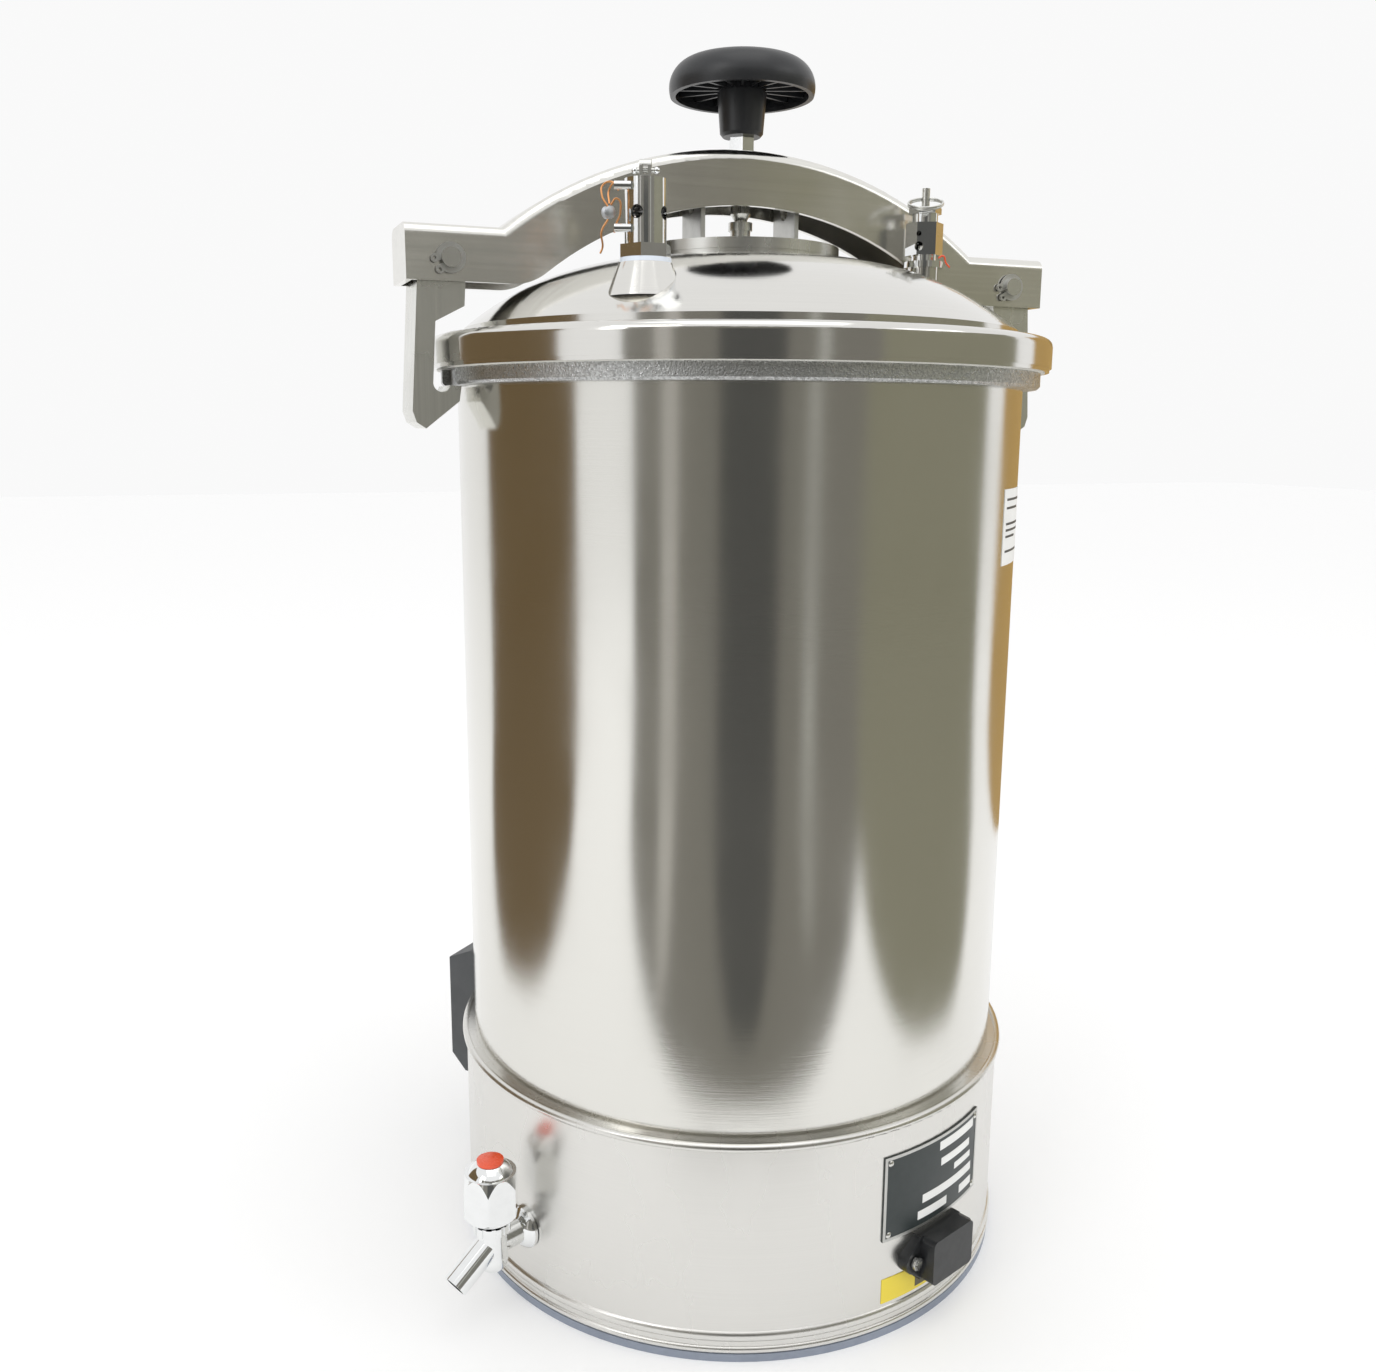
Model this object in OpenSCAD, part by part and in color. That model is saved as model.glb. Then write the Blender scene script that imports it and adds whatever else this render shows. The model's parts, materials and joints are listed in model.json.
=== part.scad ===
// Portable pressure pot with a clamped lid: heated base, drain tap, spring safety valve.
// X runs along the clamping beam, -Y is the front, Z is up from the resting plane.

/* [Vessel] */
// Outside diameter of the vessel wall
body_d = 284; // [240:1:340]
// Thickness of the vessel wall
wall_t = 2; // [1.5:0.5:3]
// Depth of the chamber, floor to flange top
chamber_depth = 390; // [300:1:480]
// Height of the chamber floor above the table
floor_z = 68; // [60:1:90]
// How far the top flange stands out from the wall
flange_w = 8; // [6:0.5:12]
// Thickness of the top flange
flange_t = 7.5; // [6:0.5:12]

/* [Base] */
// Radial gap between the vessel wall and the outside of the base housing
base_gap = 4.6; // [3.6:0.1:10]
// Height of the base housing
base_h = 111; // [95:0.5:130]
// Sheet thickness of the housing
sheet_t = 1; // [0.8:0.1:1.5]
// Height of the plastic foot ring
foot_h = 4; // [3:0.5:8]

/* [Lid] */
// How far the lid rim stands out beyond the flange
rim_over = 5; // [3:0.5:8]
// Height of the lid rim
rim_h = 16; // [14:0.5:22]
// Rise of the dome above the rim
dome_h = 38; // [30:1:60]
// Radius of the flat crown of the dome
crown_r = 45; // [30:1:60]
// Thickness of the lid sheet
lid_t = 2.5; // [2:0.1:3]
// Radius of the clamping plate on the crown
plate_r = 49.5; // [40:0.5:60]
// Thickness of the clamping plate
plate_t = 4.8; // [3:0.1:8]

/* [Beam] */
// Outside width of the channel
beam_w = 35; // [30:0.5:44]
// Wall thickness of the channel
beam_t = 3; // [2.5:0.1:4]
// Height of the channel at its two ends
beam_end_h = 25; // [22:0.5:30]
// Rise of the arch above the channel ends
arch_rise = 43; // [36:1:52]
// Diameter of the hook pins
pin_d = 9; // [7:0.5:11]

/* [Screw] */
// Thread diameter of the clamping screw
screw_d = 10; // [8:0.5:12]
// Lead of the screw for one turn
screw_lead = 1.5; // [1:0.25:2]
// Radius of the hand knob
knob_r = 36; // [28:0.5:45]

/* [Hooks] */
// Thickness of the hook leg
leg_t = 9; // [7:0.5:9]
// Swing from gripping the flange to hanging just clear of it, in degrees
hook_ajar = 3.8; // [3.8:0.1:5]

/* [Tap] */
// Direction of the tap round the pot, in degrees
tap_az = -157; // [-170:1:-140]
// Distance of the tap body from the housing wall
tap_out = 20; // [18:1:30]
// Height of the tap inlet
tap_z = 41; // [38:1:46]

/* [Basket] */
// Gap between the basket and the chamber wall
basket_gap = 12; // [11:1:30]
// Height of the basket as a share of the chamber depth, in percent
basket_share = 69; // [40:1:70]

/* [Hidden] */
$fn = 96;

steel = "#c8cac8";
bright = "#d8dad8";
black = "#242628";
grey = "#3c4042";

// Vessel, from the floor up
body_r = body_d / 2;
chamber_r = body_r - wall_t;
flange_top = floor_z + chamber_depth;
flange_z = flange_top - flange_t;
flange_r = body_r + flange_w;
floor_corner = 22;

// Base
base_r = body_r + base_gap;
bead_r = base_r + 2.1;
base_in_r = base_r - sheet_t;
post_r = chamber_r - 32;
post_angles = [45, 135, 225, 315];
drain_r = chamber_r - 40;

// Lid
rim_gap = 0.4;
rim_r = flange_r + rim_over;
rim_z = flange_top + rim_gap;
rim_top = flange_top + rim_h;
rim_t = 3;
dome_edge = body_r - 3.5;
dome_top = rim_top + dome_h;
// The shoulder arc runs from the flat crown down to the edge of the dome
shoulder_w = dome_edge - crown_r;
shoulder_r = (shoulder_w * shoulder_w + (dome_h - 4) * (dome_h - 4)) / (2 * (dome_h - 4));
plate_gap = 2.3;
plate_top = dome_top + plate_gap + plate_t;
guide_x = 24;
guide_w = 25;
guide_t = 2.5;
guide_h = 28;

// Beam: an arch with level ends, open below; a wider pot gets a flatter arch of the same height
spread = pow(body_r / 142, 2);
pin_x = flange_r + 0.5;
pin_z = rim_top + 32;
end_z = pin_z - 10;
end_top = end_z + beam_end_h;
crown_z = end_top + arch_rise;
beam_half = pin_x + 20;
arch_r = 205 * spread;
arch_cz = crown_z - arch_r;
arch_half = sqrt(arch_r * arch_r - (end_top - arch_cz) * (end_top - arch_cz));
arch_angle = asin(arch_half / arch_r);
under_r = 172 * spread;
under_cz = crown_z - 26.2 - under_r;
under_round = 25;
edge_r = 5;
pin_gap = 0.05;
pin_proud = 4;

// Screw
foot_d = 12;
neck_d = 6.6;
thread_gap = 0.1;
foot_top = plate_top + 13;
beam_drop = 4.5;
knob_z = crown_z + 27;
knob_h = 19;

// Hooks, drawn gripping the flange and then swung to the rest angle
hook_w = beam_w - 2 * beam_t - 1;
hook_out = beam_half - beam_t - 3;
hook_in = hook_out - leg_t;
toe_in = body_r + 0.4;
toe_z = flange_z - 0.4;
pocket_x = body_r + 3.9;

// Valves on the lid
safety_x = -0.5776 * dome_edge;
safety_y = -0.592 * dome_edge;
safety_seat = dome_z(norm([safety_x, safety_y]) - 11) + 0.3;
vent_x = 0.6354 * dome_edge;
vent_y = -0.2238 * dome_edge;
vent_seat = dome_z(norm([vent_x, vent_y])) + 7.5;

ring_az = -121;

// The three pins of the mains inlet, across and up
pin_spots = [[-7, -2], [0, 2], [7, -2]];

// Tap
tap_r = base_r + tap_out;
spout_len = 26.5;
spout_drop = 33;
handle_z = tap_z + 13;
handle_h = 32;
handle_r = 14.2;

// Plates and sockets on the base
face_az = -69.3;
inlet_z = 37;
inlet_pitch = 40;
plate_w_deg = 28.5;
rating_z = 51;
rating_h = 44;
panel_az = 133;
panel_face = body_r + 18;
panel_half = 44;
panel_z = 57;
panel_top = 133;

// Inside
heater_r = chamber_r - 52;
heater_d = 8.5;
heater_z = floor_z + 14;
heater_open = 30;
rack_z = floor_z + 28;
basket_z = rack_z + 1.5;
basket_r = chamber_r - basket_gap;
basket_h = round(chamber_depth * basket_share / 100 + 0.9);

function dome_z(r) = r < crown_r ? dome_top
    : dome_top - shoulder_r + sqrt(shoulder_r * shoulder_r - (r - crown_r) * (r - crown_r));

// Places children at a compass angle, radius and height, x pointing outward
module at_az(a, r, z) {
    rotate([0, 0, a]) translate([r, 0, z]) children();
}

// A round bar between two points
module rod(p, q, d) {
    v = q - p;
    translate(p) rotate([0, acos(v[2] / norm(v)), atan2(v[1], v[0])])
        cylinder(d = d, h = norm(v));
}

// A ring with square edges
module ring(r_out, r_in, z, h) {
    translate([0, 0, z]) difference() {
        cylinder(r = r_out, h = h);
        translate([0, 0, -1]) cylinder(r = r_in, h = h + 2);
    }
}

// A curved label that hugs a cylinder of radius r
module hugging(r, t, az, sweep, z, h) {
    rotate([0, 0, az - sweep / 2]) rotate_extrude(angle = sweep, $fn = 180)
        translate([r, z]) square([t, h]);
}

module rounded_rect(w, h, r) {
    square([w - 2 * r, h], center = true);
    square([w, h - 2 * r], center = true);
    for (x = [-1, 1], y = [-1, 1])
        translate([x * (w / 2 - r), y * (h / 2 - r)]) circle(r = r);
}

module slab(w, h, r, t) {
    linear_extrude(t) rounded_rect(w, h, r);
}

// Turns a slab or disc so that it stands on a face that points outward
module on_face() {
    rotate([90, 0, 90]) children();
}

// ---- Vessel ----

module vessel_shell() {
    color(steel) difference() {
        vessel_form(body_r, floor_z - wall_t, flange_top, floor_corner);
        vessel_form(chamber_r, floor_z, flange_top + 1, floor_corner - wall_t);
        for (s = [-1, 1]) heater_leg(s, heater_d);
        at_az(tap_az, drain_r, floor_z - 10) cylinder(d = 9, h = 20);
    }
}

// Solid of the vessel with a rounded corner at the floor
module vessel_form(r, z0, z1, corner) {
    rotate_extrude() {
        translate([0, z0 + corner]) square([r, z1 - z0 - corner]);
        translate([0, z0]) square([r - corner, corner + 1]);
        intersection() {
            translate([r - corner, z0 + corner]) circle(r = corner);
            square([r, z1]);
        }
    }
}

module flange_ring() {
    color(steel) difference() {
        rotate_extrude() difference() {
            translate([body_r, flange_z]) square([flange_w, flange_t]);
            translate([flange_r, flange_z]) rotate(45) square(1.8, center = true);
        }
        // Seats that locate the two hooks
        for (s = [-1, 1])
            translate([s * (pocket_x + 15), 0, flange_z + flange_t / 2])
                cube([30, hook_w + 2, flange_t + 2], center = true);
    }
}

// ---- Base ----

module base_housing() {
    color(bright) difference() {
        union() {
            rotate_extrude() {
                translate([base_in_r, foot_h]) square([sheet_t, base_h - foot_h]);
                translate([body_r, base_h - sheet_t]) square([base_r - 0.5 - body_r, sheet_t]);
                base_bead(base_h - 0.8, 2.2, bead_r);
                base_bead(foot_h + 9, 3.3, base_r + 1.4);
                base_bead(foot_h + 2, 1.9, base_r + 1.2);
            }
        }
        at_az(tap_az, 0, tap_z) rotate([0, 90, 0]) cylinder(d = 13, h = base_r + 20);
        at_az(face_az, base_r - 10, inlet_z) cube([40, 30, 22], center = true);
        for (s = [-1, 1]) at_az(face_az, base_r - 10, inlet_z)
            translate([0, s * inlet_pitch / 2, 0]) rotate([0, 90, 0])
                cylinder(d = 4, h = 20);
    }
}

// Section of a rolled bead: a half round that stands out from the sheet
module base_bead(z, r, out) {
    intersection() {
        translate([out - r, z]) circle(r = r);
        translate([base_in_r + 0.2, z - r - 1]) square([out, 2 * r + 2]);
    }
}

module foot_ring() {
    color("#7f8a98") rotate_extrude() difference() {
        translate([base_r - 14, 0]) square([14.6, foot_h]);
        translate([base_r - 11, -1]) square([7, foot_h - 0.5]);
    }
}

module bottom_plate() {
    color(steel) difference() {
        translate([0, 0, foot_h]) cylinder(r = base_in_r, h = sheet_t);
        for (a = post_angles) at_az(a, post_r, 0) cylinder(d = 4.2, h = foot_h + 5);
        for (a = [0:30:330], r = [36, 56])
            at_az(a, r, 0) cylinder(d = 7, h = foot_h + 5);
    }
}

module support_posts() {
    color(steel) for (a = post_angles) at_az(a, post_r, foot_h + sheet_t) difference() {
        cylinder(d = 10, h = floor_z - wall_t - foot_h - sheet_t);
        translate([0, 0, -1]) cylinder(d = 4, h = 13);
    }
}

module bottom_screws() {
    color(bright) for (a = post_angles) at_az(a, post_r, 0) difference() {
        union() {
            translate([0, 0, foot_h - 2.4]) cylinder(d = 8, h = 2.4);
            translate([0, 0, foot_h - 0.1]) cylinder(d = 4, h = 11);
        }
        translate([0, 0, foot_h - 2.6]) cube([5.5, 1.2, 2], center = true);
        translate([0, 0, foot_h - 2.6]) cube([1.2, 5.5, 2], center = true);
    }
}

// ---- Heater, rack and basket ----

module heater_leg(s, d) {
    a = 90 + s * heater_open / 2;
    at_az(a, heater_r, floor_z - 22) cylinder(d = d, h = heater_z - floor_z + 22);
}

module heater_element() {
    color("#8d8f8c") {
        rotate([0, 0, 90 + heater_open / 2]) rotate_extrude(angle = 360 - heater_open)
            translate([heater_r, heater_z]) circle(d = heater_d);
        for (s = [-1, 1]) {
            heater_leg(s, heater_d);
            at_az(90 + s * heater_open / 2, heater_r, heater_z) sphere(d = heater_d);
        }
    }
}

module heater_glands() {
    color("#b8a368") for (s = [-1, 1]) at_az(90 + s * heater_open / 2, heater_r, 0)
        difference() {
            union() {
                translate([0, 0, floor_z]) cylinder(d = 18, h = 4);
                translate([0, 0, floor_z - wall_t - 6]) cylinder(d = 19, h = 6, $fn = 6);
            }
            translate([0, 0, floor_z - 20]) cylinder(d = heater_d, h = 30);
        }
}

module dry_boil_cutout() {
    color("#e6e2d6") at_az(270, 40, floor_z - wall_t - 14) {
        cylinder(d = 24, h = 14);
        for (s = [-1, 1]) translate([s * 7, 0, -8]) cube([1, 6, 17], center = true);
    }
}

module heater_wiring() {
    low = floor_z - wall_t - 34;
    socket = polar(face_az, base_r - 27, inlet_z);
    leg_a = polar(90 + heater_open / 2, heater_r, floor_z - 22);
    leg_b = polar(90 - heater_open / 2, heater_r, floor_z - 22);
    cut = [-7, -40, floor_z - wall_t - 31];
    color("#8c3b2c") {
        rod(cut + [0, 0, 0], [cut[0], cut[1], low], 3);
        rod([cut[0], cut[1], low], [leg_a[0], leg_a[1], low], 3);
        rod([leg_a[0], leg_a[1], low], leg_a, 3);
        for (p = [[cut[0], cut[1], low], [leg_a[0], leg_a[1], low]]) translate(p) cube(4.4, center = true);
    }
    color("#2c4f8c") {
        rod(socket, [leg_b[0], socket[1], inlet_z], 3);
        rod([leg_b[0], socket[1], inlet_z], [leg_b[0], leg_b[1], inlet_z], 3);
        rod([leg_b[0], leg_b[1], inlet_z], leg_b, 3);
        for (p = [[leg_b[0], socket[1], inlet_z], [leg_b[0], leg_b[1], inlet_z]])
            translate(p) cube(4.4, center = true);
    }
}

function polar(a, r, z) = [r * cos(a), r * sin(a), z];

module drain_pipe() {
    z1 = floor_z - wall_t;
    color("#b8a368") rotate([0, 0, tap_az]) difference() {
        union() {
            translate([drain_r, 0, tap_z]) cylinder(d = 12, h = z1 - tap_z);
            translate([drain_r, 0, tap_z]) sphere(d = 12);
            translate([drain_r, 0, tap_z]) rotate([0, 90, 0])
                cylinder(d = 12, h = base_in_r - 22 - drain_r);
            translate([base_in_r - 36, 0, tap_z]) rotate([0, 90, 0])
                cylinder(d = 20, h = 14, $fn = 6);
            translate([drain_r, 0, z1 - 5]) cylinder(d = 20, h = 5, $fn = 6);
        }
        translate([drain_r, 0, tap_z]) cylinder(d = 9, h = z1);
        translate([drain_r, 0, tap_z]) rotate([0, 90, 0]) cylinder(d = 9, h = base_r);
        translate([drain_r, 0, tap_z]) sphere(d = 9);
    }
}

module rack() {
    color(steel) difference() {
        union() {
            translate([0, 0, rack_z]) cylinder(r = chamber_r - 4, h = 1.5);
            for (a = [30, 150, 270]) at_az(a, chamber_r - 24, floor_z) cylinder(d = 8, h = 28.7);
        }
        for (r = [30, 60, 90], i = [0:11])
            at_az(i * 30 + r / 4, r, rack_z - 1) cylinder(d = 12, h = 4);
        translate([0, 0, rack_z - 1]) cylinder(d = 20, h = 4);
    }
}

module basket() {
    top = basket_z + basket_h;
    color(bright) difference() {
        translate([0, 0, basket_z]) cylinder(r = basket_r, h = basket_h);
        translate([0, 0, basket_z + 1]) cylinder(r = basket_r - 1, h = basket_h - 3);
        translate([0, 0, basket_z + 2]) cylinder(r = basket_r - 7, h = basket_h);
        for (i = [0:11]) at_az(i * 30, 80, basket_z - 1) cylinder(d = 8, h = 4);
        for (k = [0.25, 0.5, 0.75], i = [0:11])
            at_az(i * 30 + 15, basket_r - 4, basket_z + k * basket_h)
                rotate([0, 90, 0]) cylinder(d = 9, h = 10);
    }
    // Ears that carry the handle
    color(bright) for (s = [-1, 1]) difference() {
        translate([s * (basket_r + 0.7), 0, top - 3]) cube([2.6, 14, 18], center = true);
        translate([s * (basket_r - 0.5), 0, top + 2.6]) rotate([0, 90, 0])
            cylinder(d = 5, h = 3.4, center = true);
    }
}

// Wire handle lying folded on the basket rim
module basket_handle() {
    z = basket_z + basket_h + 2.6;
    r = basket_r - 4;
    color(steel) {
        rotate([0, 0, 180]) rotate_extrude(angle = 180) translate([r, z]) circle(d = 5);
        for (s = [-1, 1]) {
            translate([s * r, 0, z]) rotate([0, s * 90, 0]) cylinder(d = 4.8, h = 4.9);
            translate([s * r, 0, z]) sphere(d = 5.08);
        }
    }
}

// ---- Tap ----

// Everything in the tap is drawn with x outward and the tap axis at x = 0
module tap_place() {
    at_az(tap_az, tap_r, 0) children();
}

module spout(d, extra) {
    translate([0, 0, tap_z + 2]) rotate([0, 90 + spout_drop, 0])
        cylinder(d = d, h = spout_len + extra);
}

module tap_body() {
    color(bright) tap_place() difference() {
        union() {
            translate([0, 0, tap_z - 7]) cylinder(d = 15, h = 15);
            translate([0, 0, tap_z - 7]) sphere(d = 15.4);
            spout(13, 0);
            translate([-tap_out - 22, 0, tap_z]) rotate([0, 90, 0])
                cylinder(d = 12.6, h = tap_out + 22);
        }
        spout(10.4, 1);
        translate([0, 0, tap_z + 1]) cylinder(d = 10.6, h = 8);
        translate([0, 0, tap_z - 6]) cylinder(d = 7, h = 9);
        translate([-tap_out - 23, 0, tap_z - 4]) rotate([0, 90, 0])
            cylinder(d = 7, h = tap_out + 23);
    }
}

module tap_escutcheon() {
    color(bright) tap_place() translate([-tap_out, 0, tap_z]) rotate([0, 90, 0])
        difference() {
            rotate_extrude() intersection() {
                translate([0, -6]) circle(r = 13);
                square([10.5, 8]);
            }
            translate([0, 0, -1]) cylinder(d = 12.6, h = 10);
        }
}

module tap_bonnet() {
    z = tap_z + 8;
    color(bright) tap_place() difference() {
        union() {
            translate([0, 0, z]) cylinder(r = 9.2, h = 4.4);
            translate([0, 0, z - 3]) cylinder(d = 10.6, h = 3.5);
        }
        translate([0, 0, z - 4]) cylinder(d = 6.2, h = 12);
        for (a = [0:30:330]) rotate([0, 0, a]) translate([9.4, 0, z + 2.2])
            cube([1.6, 2, 5], center = true);
    }
}

// Rod with the rubber jumper that closes the seat; it rises as the handle turns
module tap_jumper() {
    z = tap_z + 1.05;
    color("#303234") tap_place() {
        translate([0, 0, z]) cylinder(d = 9.6, h = 1.6);
        translate([0, 0, z + 1.5]) cylinder(d = 3, h = 10);
    }
}

module tap_handle() {
    z = handle_z;
    color(bright) tap_place() difference() {
        intersection() {
            translate([0, 0, z - 1]) rotate([0, 0, 49]) cylinder(r = handle_r, h = 40, $fn = 6);
            rotate_extrude() intersection() {
                translate([0, z]) square([handle_r + 1, handle_h]);
                translate([0, z + 15]) circle(r = 17.2);
                union() {
                    polygon([[0, z], [10.4, z], [14.6, z + 5], [14.6, z + 18],
                        [12.4, z + 26], [0, z + 26]]);
                    translate([0, z + 19.5]) circle(r = 12.6);
                }
            }
        }
        translate([0, 0, z + handle_h - 1.3]) cylinder(r = 6.6, h = 4);
        translate([0, 0, z - 1]) cylinder(d = 3.2, h = 9);
    }
    // Sleeve of the handle that turns in the bonnet
    color(bright) tap_place() difference() {
        translate([0, 0, tap_z + 6.5]) cylinder(d = 6, h = handle_z - tap_z - 6.3);
        translate([0, 0, tap_z]) cylinder(d = 3.2, h = 20);
    }
}

module tap_index() {
    color("#d8391c") tap_place() translate([0, 0, handle_z + handle_h - 1.3])
        intersection() {
            cylinder(r = 6.5, h = 2.4);
            translate([0, 0, -28.4]) sphere(r = 30.5);
        }
}

// ---- Mains inlet, plates and labels ----

module inlet_place() {
    at_az(face_az, base_r, inlet_z) children();
}

module mains_inlet() {
    color(black) difference() {
        inlet_place() difference() {
            union() {
                translate([-6, 0, 0]) on_face() linear_extrude(9.5) inlet_flange(0);
                on_face() slab(31, 23, 2.5, 11.5);
                translate([-17, 0, 0]) on_face() slab(28, 20, 2, 18);
            }
            translate([-9, 0, 0]) on_face() linear_extrude(20) inlet_mouth();
            for (s = [-1, 1]) translate([-5, s * inlet_pitch / 2, 0]) rotate([0, 90, 0])
                cylinder(d = 3.5, h = 20);
            for (p = pin_spots) translate([-9.5, p[0], p[1]])
                cube([8, 2, 4], center = true);
        }
        // The flange follows the curve of the housing
        difference() {
            translate([0, 0, 10]) cylinder(r = base_r, h = 60, $fn = 180);
            at_az(face_az, base_r - 10, inlet_z) cube([40, 28, 20], center = true);
        }
    }
}

// Flange outline: a rounded box with an ear at each side for a screw
module inlet_flange(grow) {
    square([31 + 2 * grow, 23 + 2 * grow], center = true);
    for (s = [-1, 1]) {
        translate([s * inlet_pitch / 2, 0]) circle(r = 6 + grow);
        polygon([[s * 15, 11.2 + grow], [s * 22.7, 5.3 + grow],
            [s * 22.7, -5.3 - grow], [s * 15, -11.2 - grow]]);
    }
}

module inlet_mouth() {
    intersection() {
        rounded_rect(24, 16, 2);
        translate([0, -2]) rotate(45) square(27, center = true);
    }
}

module inlet_pins() {
    color("#d9c98a") inlet_place() for (p = pin_spots)
        translate([-2.75, p[0], p[1]]) cube([21.5, 2, 4], center = true);
}

module inlet_screws() {
    color(bright) inlet_place() for (s = [-1, 1])
        translate([-3, s * inlet_pitch / 2, 0]) rotate([0, 90, 0]) difference() {
            union() {
                cylinder(d = 3.4, h = 7);
                translate([0, 0, 7]) cylinder(d = 6.4, h = 1.9);
            }
            translate([0, 0, 9]) cube([5, 0.9, 1.8], center = true);
            translate([0, 0, 9]) cube([0.9, 5, 1.8], center = true);
        }
}

module rating_plate() {
    color(black) hugging(base_r, 0.8, face_az, plate_w_deg, rating_z, rating_h);
}

module plate_rivets() {
    color(bright) for (s = [-1, 1], z = [rating_z + 3.2, rating_z + rating_h - 3.2])
        at_az(face_az + s * (plate_w_deg / 2 - 1.3), base_r + 0.8, z)
            rotate([0, 90, 0]) intersection() {
                cylinder(d = 3.2, h = 1.2);
                translate([0, 0, -1]) sphere(r = 2);
            }
}

module caution_strip() {
    color("#e8d24a") difference() {
        hugging(base_r, 0.3, face_az - 2.2, 23.4, 17.6, 12.8);
        inlet_place() translate([-8, 0, 0]) on_face() linear_extrude(20) inlet_flange(0.1);
    }
}

module side_label() {
    color("#f4f4f0") hugging(body_r, 0.2, -43.8, 16, 368, 36);
}

// ---- Control panel ----

module panel_place() {
    at_az(panel_az, panel_face, 0) children();
}

// Side outline of the enclosure, x outward from the panel face
module panel_side(inset) {
    back = -panel_face + body_r - 12;
    polygon([[back, panel_z + inset], [-9, panel_z + inset], [-inset, panel_z + 10],
        [-inset, panel_top - 6], [-14, panel_top - inset], [back, panel_top - inset]]);
}

module control_box() {
    color(grey) difference() {
        panel_place() difference() {
            rotate([90, 0, 0]) translate([0, 0, -panel_half])
                linear_extrude(2 * panel_half) panel_side(0);
            rotate([90, 0, 0]) translate([0, 0, -panel_half + 2.5])
                linear_extrude(2 * panel_half - 5) panel_side(2.5);
            translate([-5, 12, 112]) on_face() slab(44, 18, 1.5, 10);
            for (i = [0:3]) translate([-5, key_y(i), 84]) rotate([0, 90, 0])
                cylinder(d = key_d + 0.6, h = 10);
            translate([-8, -26, 112]) on_face() slab(21.6, 15.6, 1, 12);
        }
        // The back fits round the vessel and the base bead
        cylinder(r = base_r, h = base_h - 4, $fn = 180);
        cylinder(r = bead_r + 0.1, h = base_h + 1.6, $fn = 180);
        cylinder(r = body_r, h = panel_top + 10, $fn = 180);
    }
}

key_d = 9;
function key_y(i) = 33 - 22 * i;

module display_window() {
    color("#15181a") panel_place() translate([-2.4, 12, 112]) on_face()
        slab(43.8, 17.8, 1.4, 1.9);
}

module circuit_board() {
    color("#2f6b3f") panel_place() {
        translate([-9.2, 12, 99]) cube([1.6, 50, 50], center = true);
        translate([-6.5, 12, 112]) cube([4, 38, 14], center = true);
        for (i = [0:2]) translate([-8, key_y(i), 84]) cube([1.2, 6, 6], center = true);
    }
}

module key_cap(i, c) {
    color(c) panel_place() translate([-5.2, key_y(i), 84]) rotate([0, 90, 0]) {
        cylinder(d = key_d, h = 6.6);
        cylinder(d = key_d + 3, h = 2);
    }
}

module key_set() { key_cap(0, "#d0d4d6"); }
module key_up() { key_cap(1, "#d0d4d6"); }
module key_down() { key_cap(2, "#d0d4d6"); }
module key_start() { key_cap(3, "#2f9b58"); }

module power_rocker() {
    color(black) panel_place() translate([-4, -26, 112]) rotate([0, 0, -5]) {
        translate([-3, 0, 0]) cube([6, 19.6, 14.4], center = true);
        translate([-0.01, 0, 0]) on_face() slab(20, 14.4, 1, 5.6);
        cylinder(d = 3, h = 15.2, center = true);
    }
}

// ---- Lid ----

// Half section of the dome as a filled shape, inset by the sheet thickness
module dome_fill(inset) {
    zc = dome_top - shoulder_r;
    intersection() {
        union() {
            translate([crown_r, zc]) circle(r = shoulder_r - inset, $fn = 240);
            translate([0, zc]) square([crown_r, shoulder_r - inset]);
        }
        translate([0, rim_z - 2]) square([dome_edge - inset, dome_top]);
    }
}

module lid_shell() {
    r = 4;
    color(bright) difference() {
        rotate_extrude() {
            difference() {
                union() {
                    intersection() {
                        dome_fill(0);
                        translate([0, rim_top - rim_t]) square([dome_edge, dome_h + 10]);
                    }
                    // Rim, an upside-down channel that holds the gasket
                    translate([dome_edge - lid_t, rim_top - rim_t])
                        square([rim_r - dome_edge + lid_t - r, rim_t]);
                    translate([rim_r - rim_t, rim_z + 1.8]) square([rim_t, rim_h - r - 2.2]);
                    translate([rim_r - rim_t, rim_z]) square([rim_t - 1, 3]);
                    translate([dome_edge - lid_t, rim_z]) square([lid_t, rim_h - rim_gap - 1]);
                    difference() {
                        translate([rim_r - r, rim_top - r]) circle(r = r);
                        translate([rim_r - 2 * r, rim_top - 2 * r]) square([r, 2 * r]);
                        translate([rim_r - 2 * r, rim_top - 2 * r])
                            square([2 * r - rim_t, 2 * r - rim_t]);
                    }
                }
                dome_fill(lid_t);
            }
        }
        for (v = [[safety_x, safety_y], [vent_x, vent_y]])
            translate([v[0], v[1], dome_top - 60]) cylinder(d = 10, h = 70);
    }
}

module lid_gasket() {
    color("#e4e2dc") ring(rim_r - rim_t - 0.1, dome_edge + 0.1, flange_top, 8);
}

module clamp_plate() {
    color(steel) translate([0, 0, dome_top + plate_gap]) cylinder(r = plate_r, h = plate_t);
}

module plate_pad() {
    color("#9a9c9a") translate([0, 0, dome_top]) cylinder(r = plate_r - 0.6, h = plate_gap);
}

module beam_guides() {
    color(steel) for (s = [-1, 1])
        translate([s * (guide_x + guide_t / 2), 0, plate_top + guide_h / 2]) difference() {
            cube([guide_t, guide_w, guide_h], center = true);
            translate([0, 0, 6]) rotate([0, 90, 0]) cylinder(d = 8, h = 10, center = true);
        }
}

// Swivel foot that stays on the plate while the screw turns in it
module screw_foot() {
    color(steel) difference() {
        union() {
            translate([0, 0, plate_top]) cylinder(d = 16, h = 4);
            translate([0, 0, plate_top]) cylinder(d = 10, h = 13);
            translate([0, 0, foot_top - 4]) cylinder(d = foot_d, h = 4);
        }
        translate([0, 0, plate_top + 3]) cylinder(d = neck_d + 2 * thread_gap, h = 20);
    }
}

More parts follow.
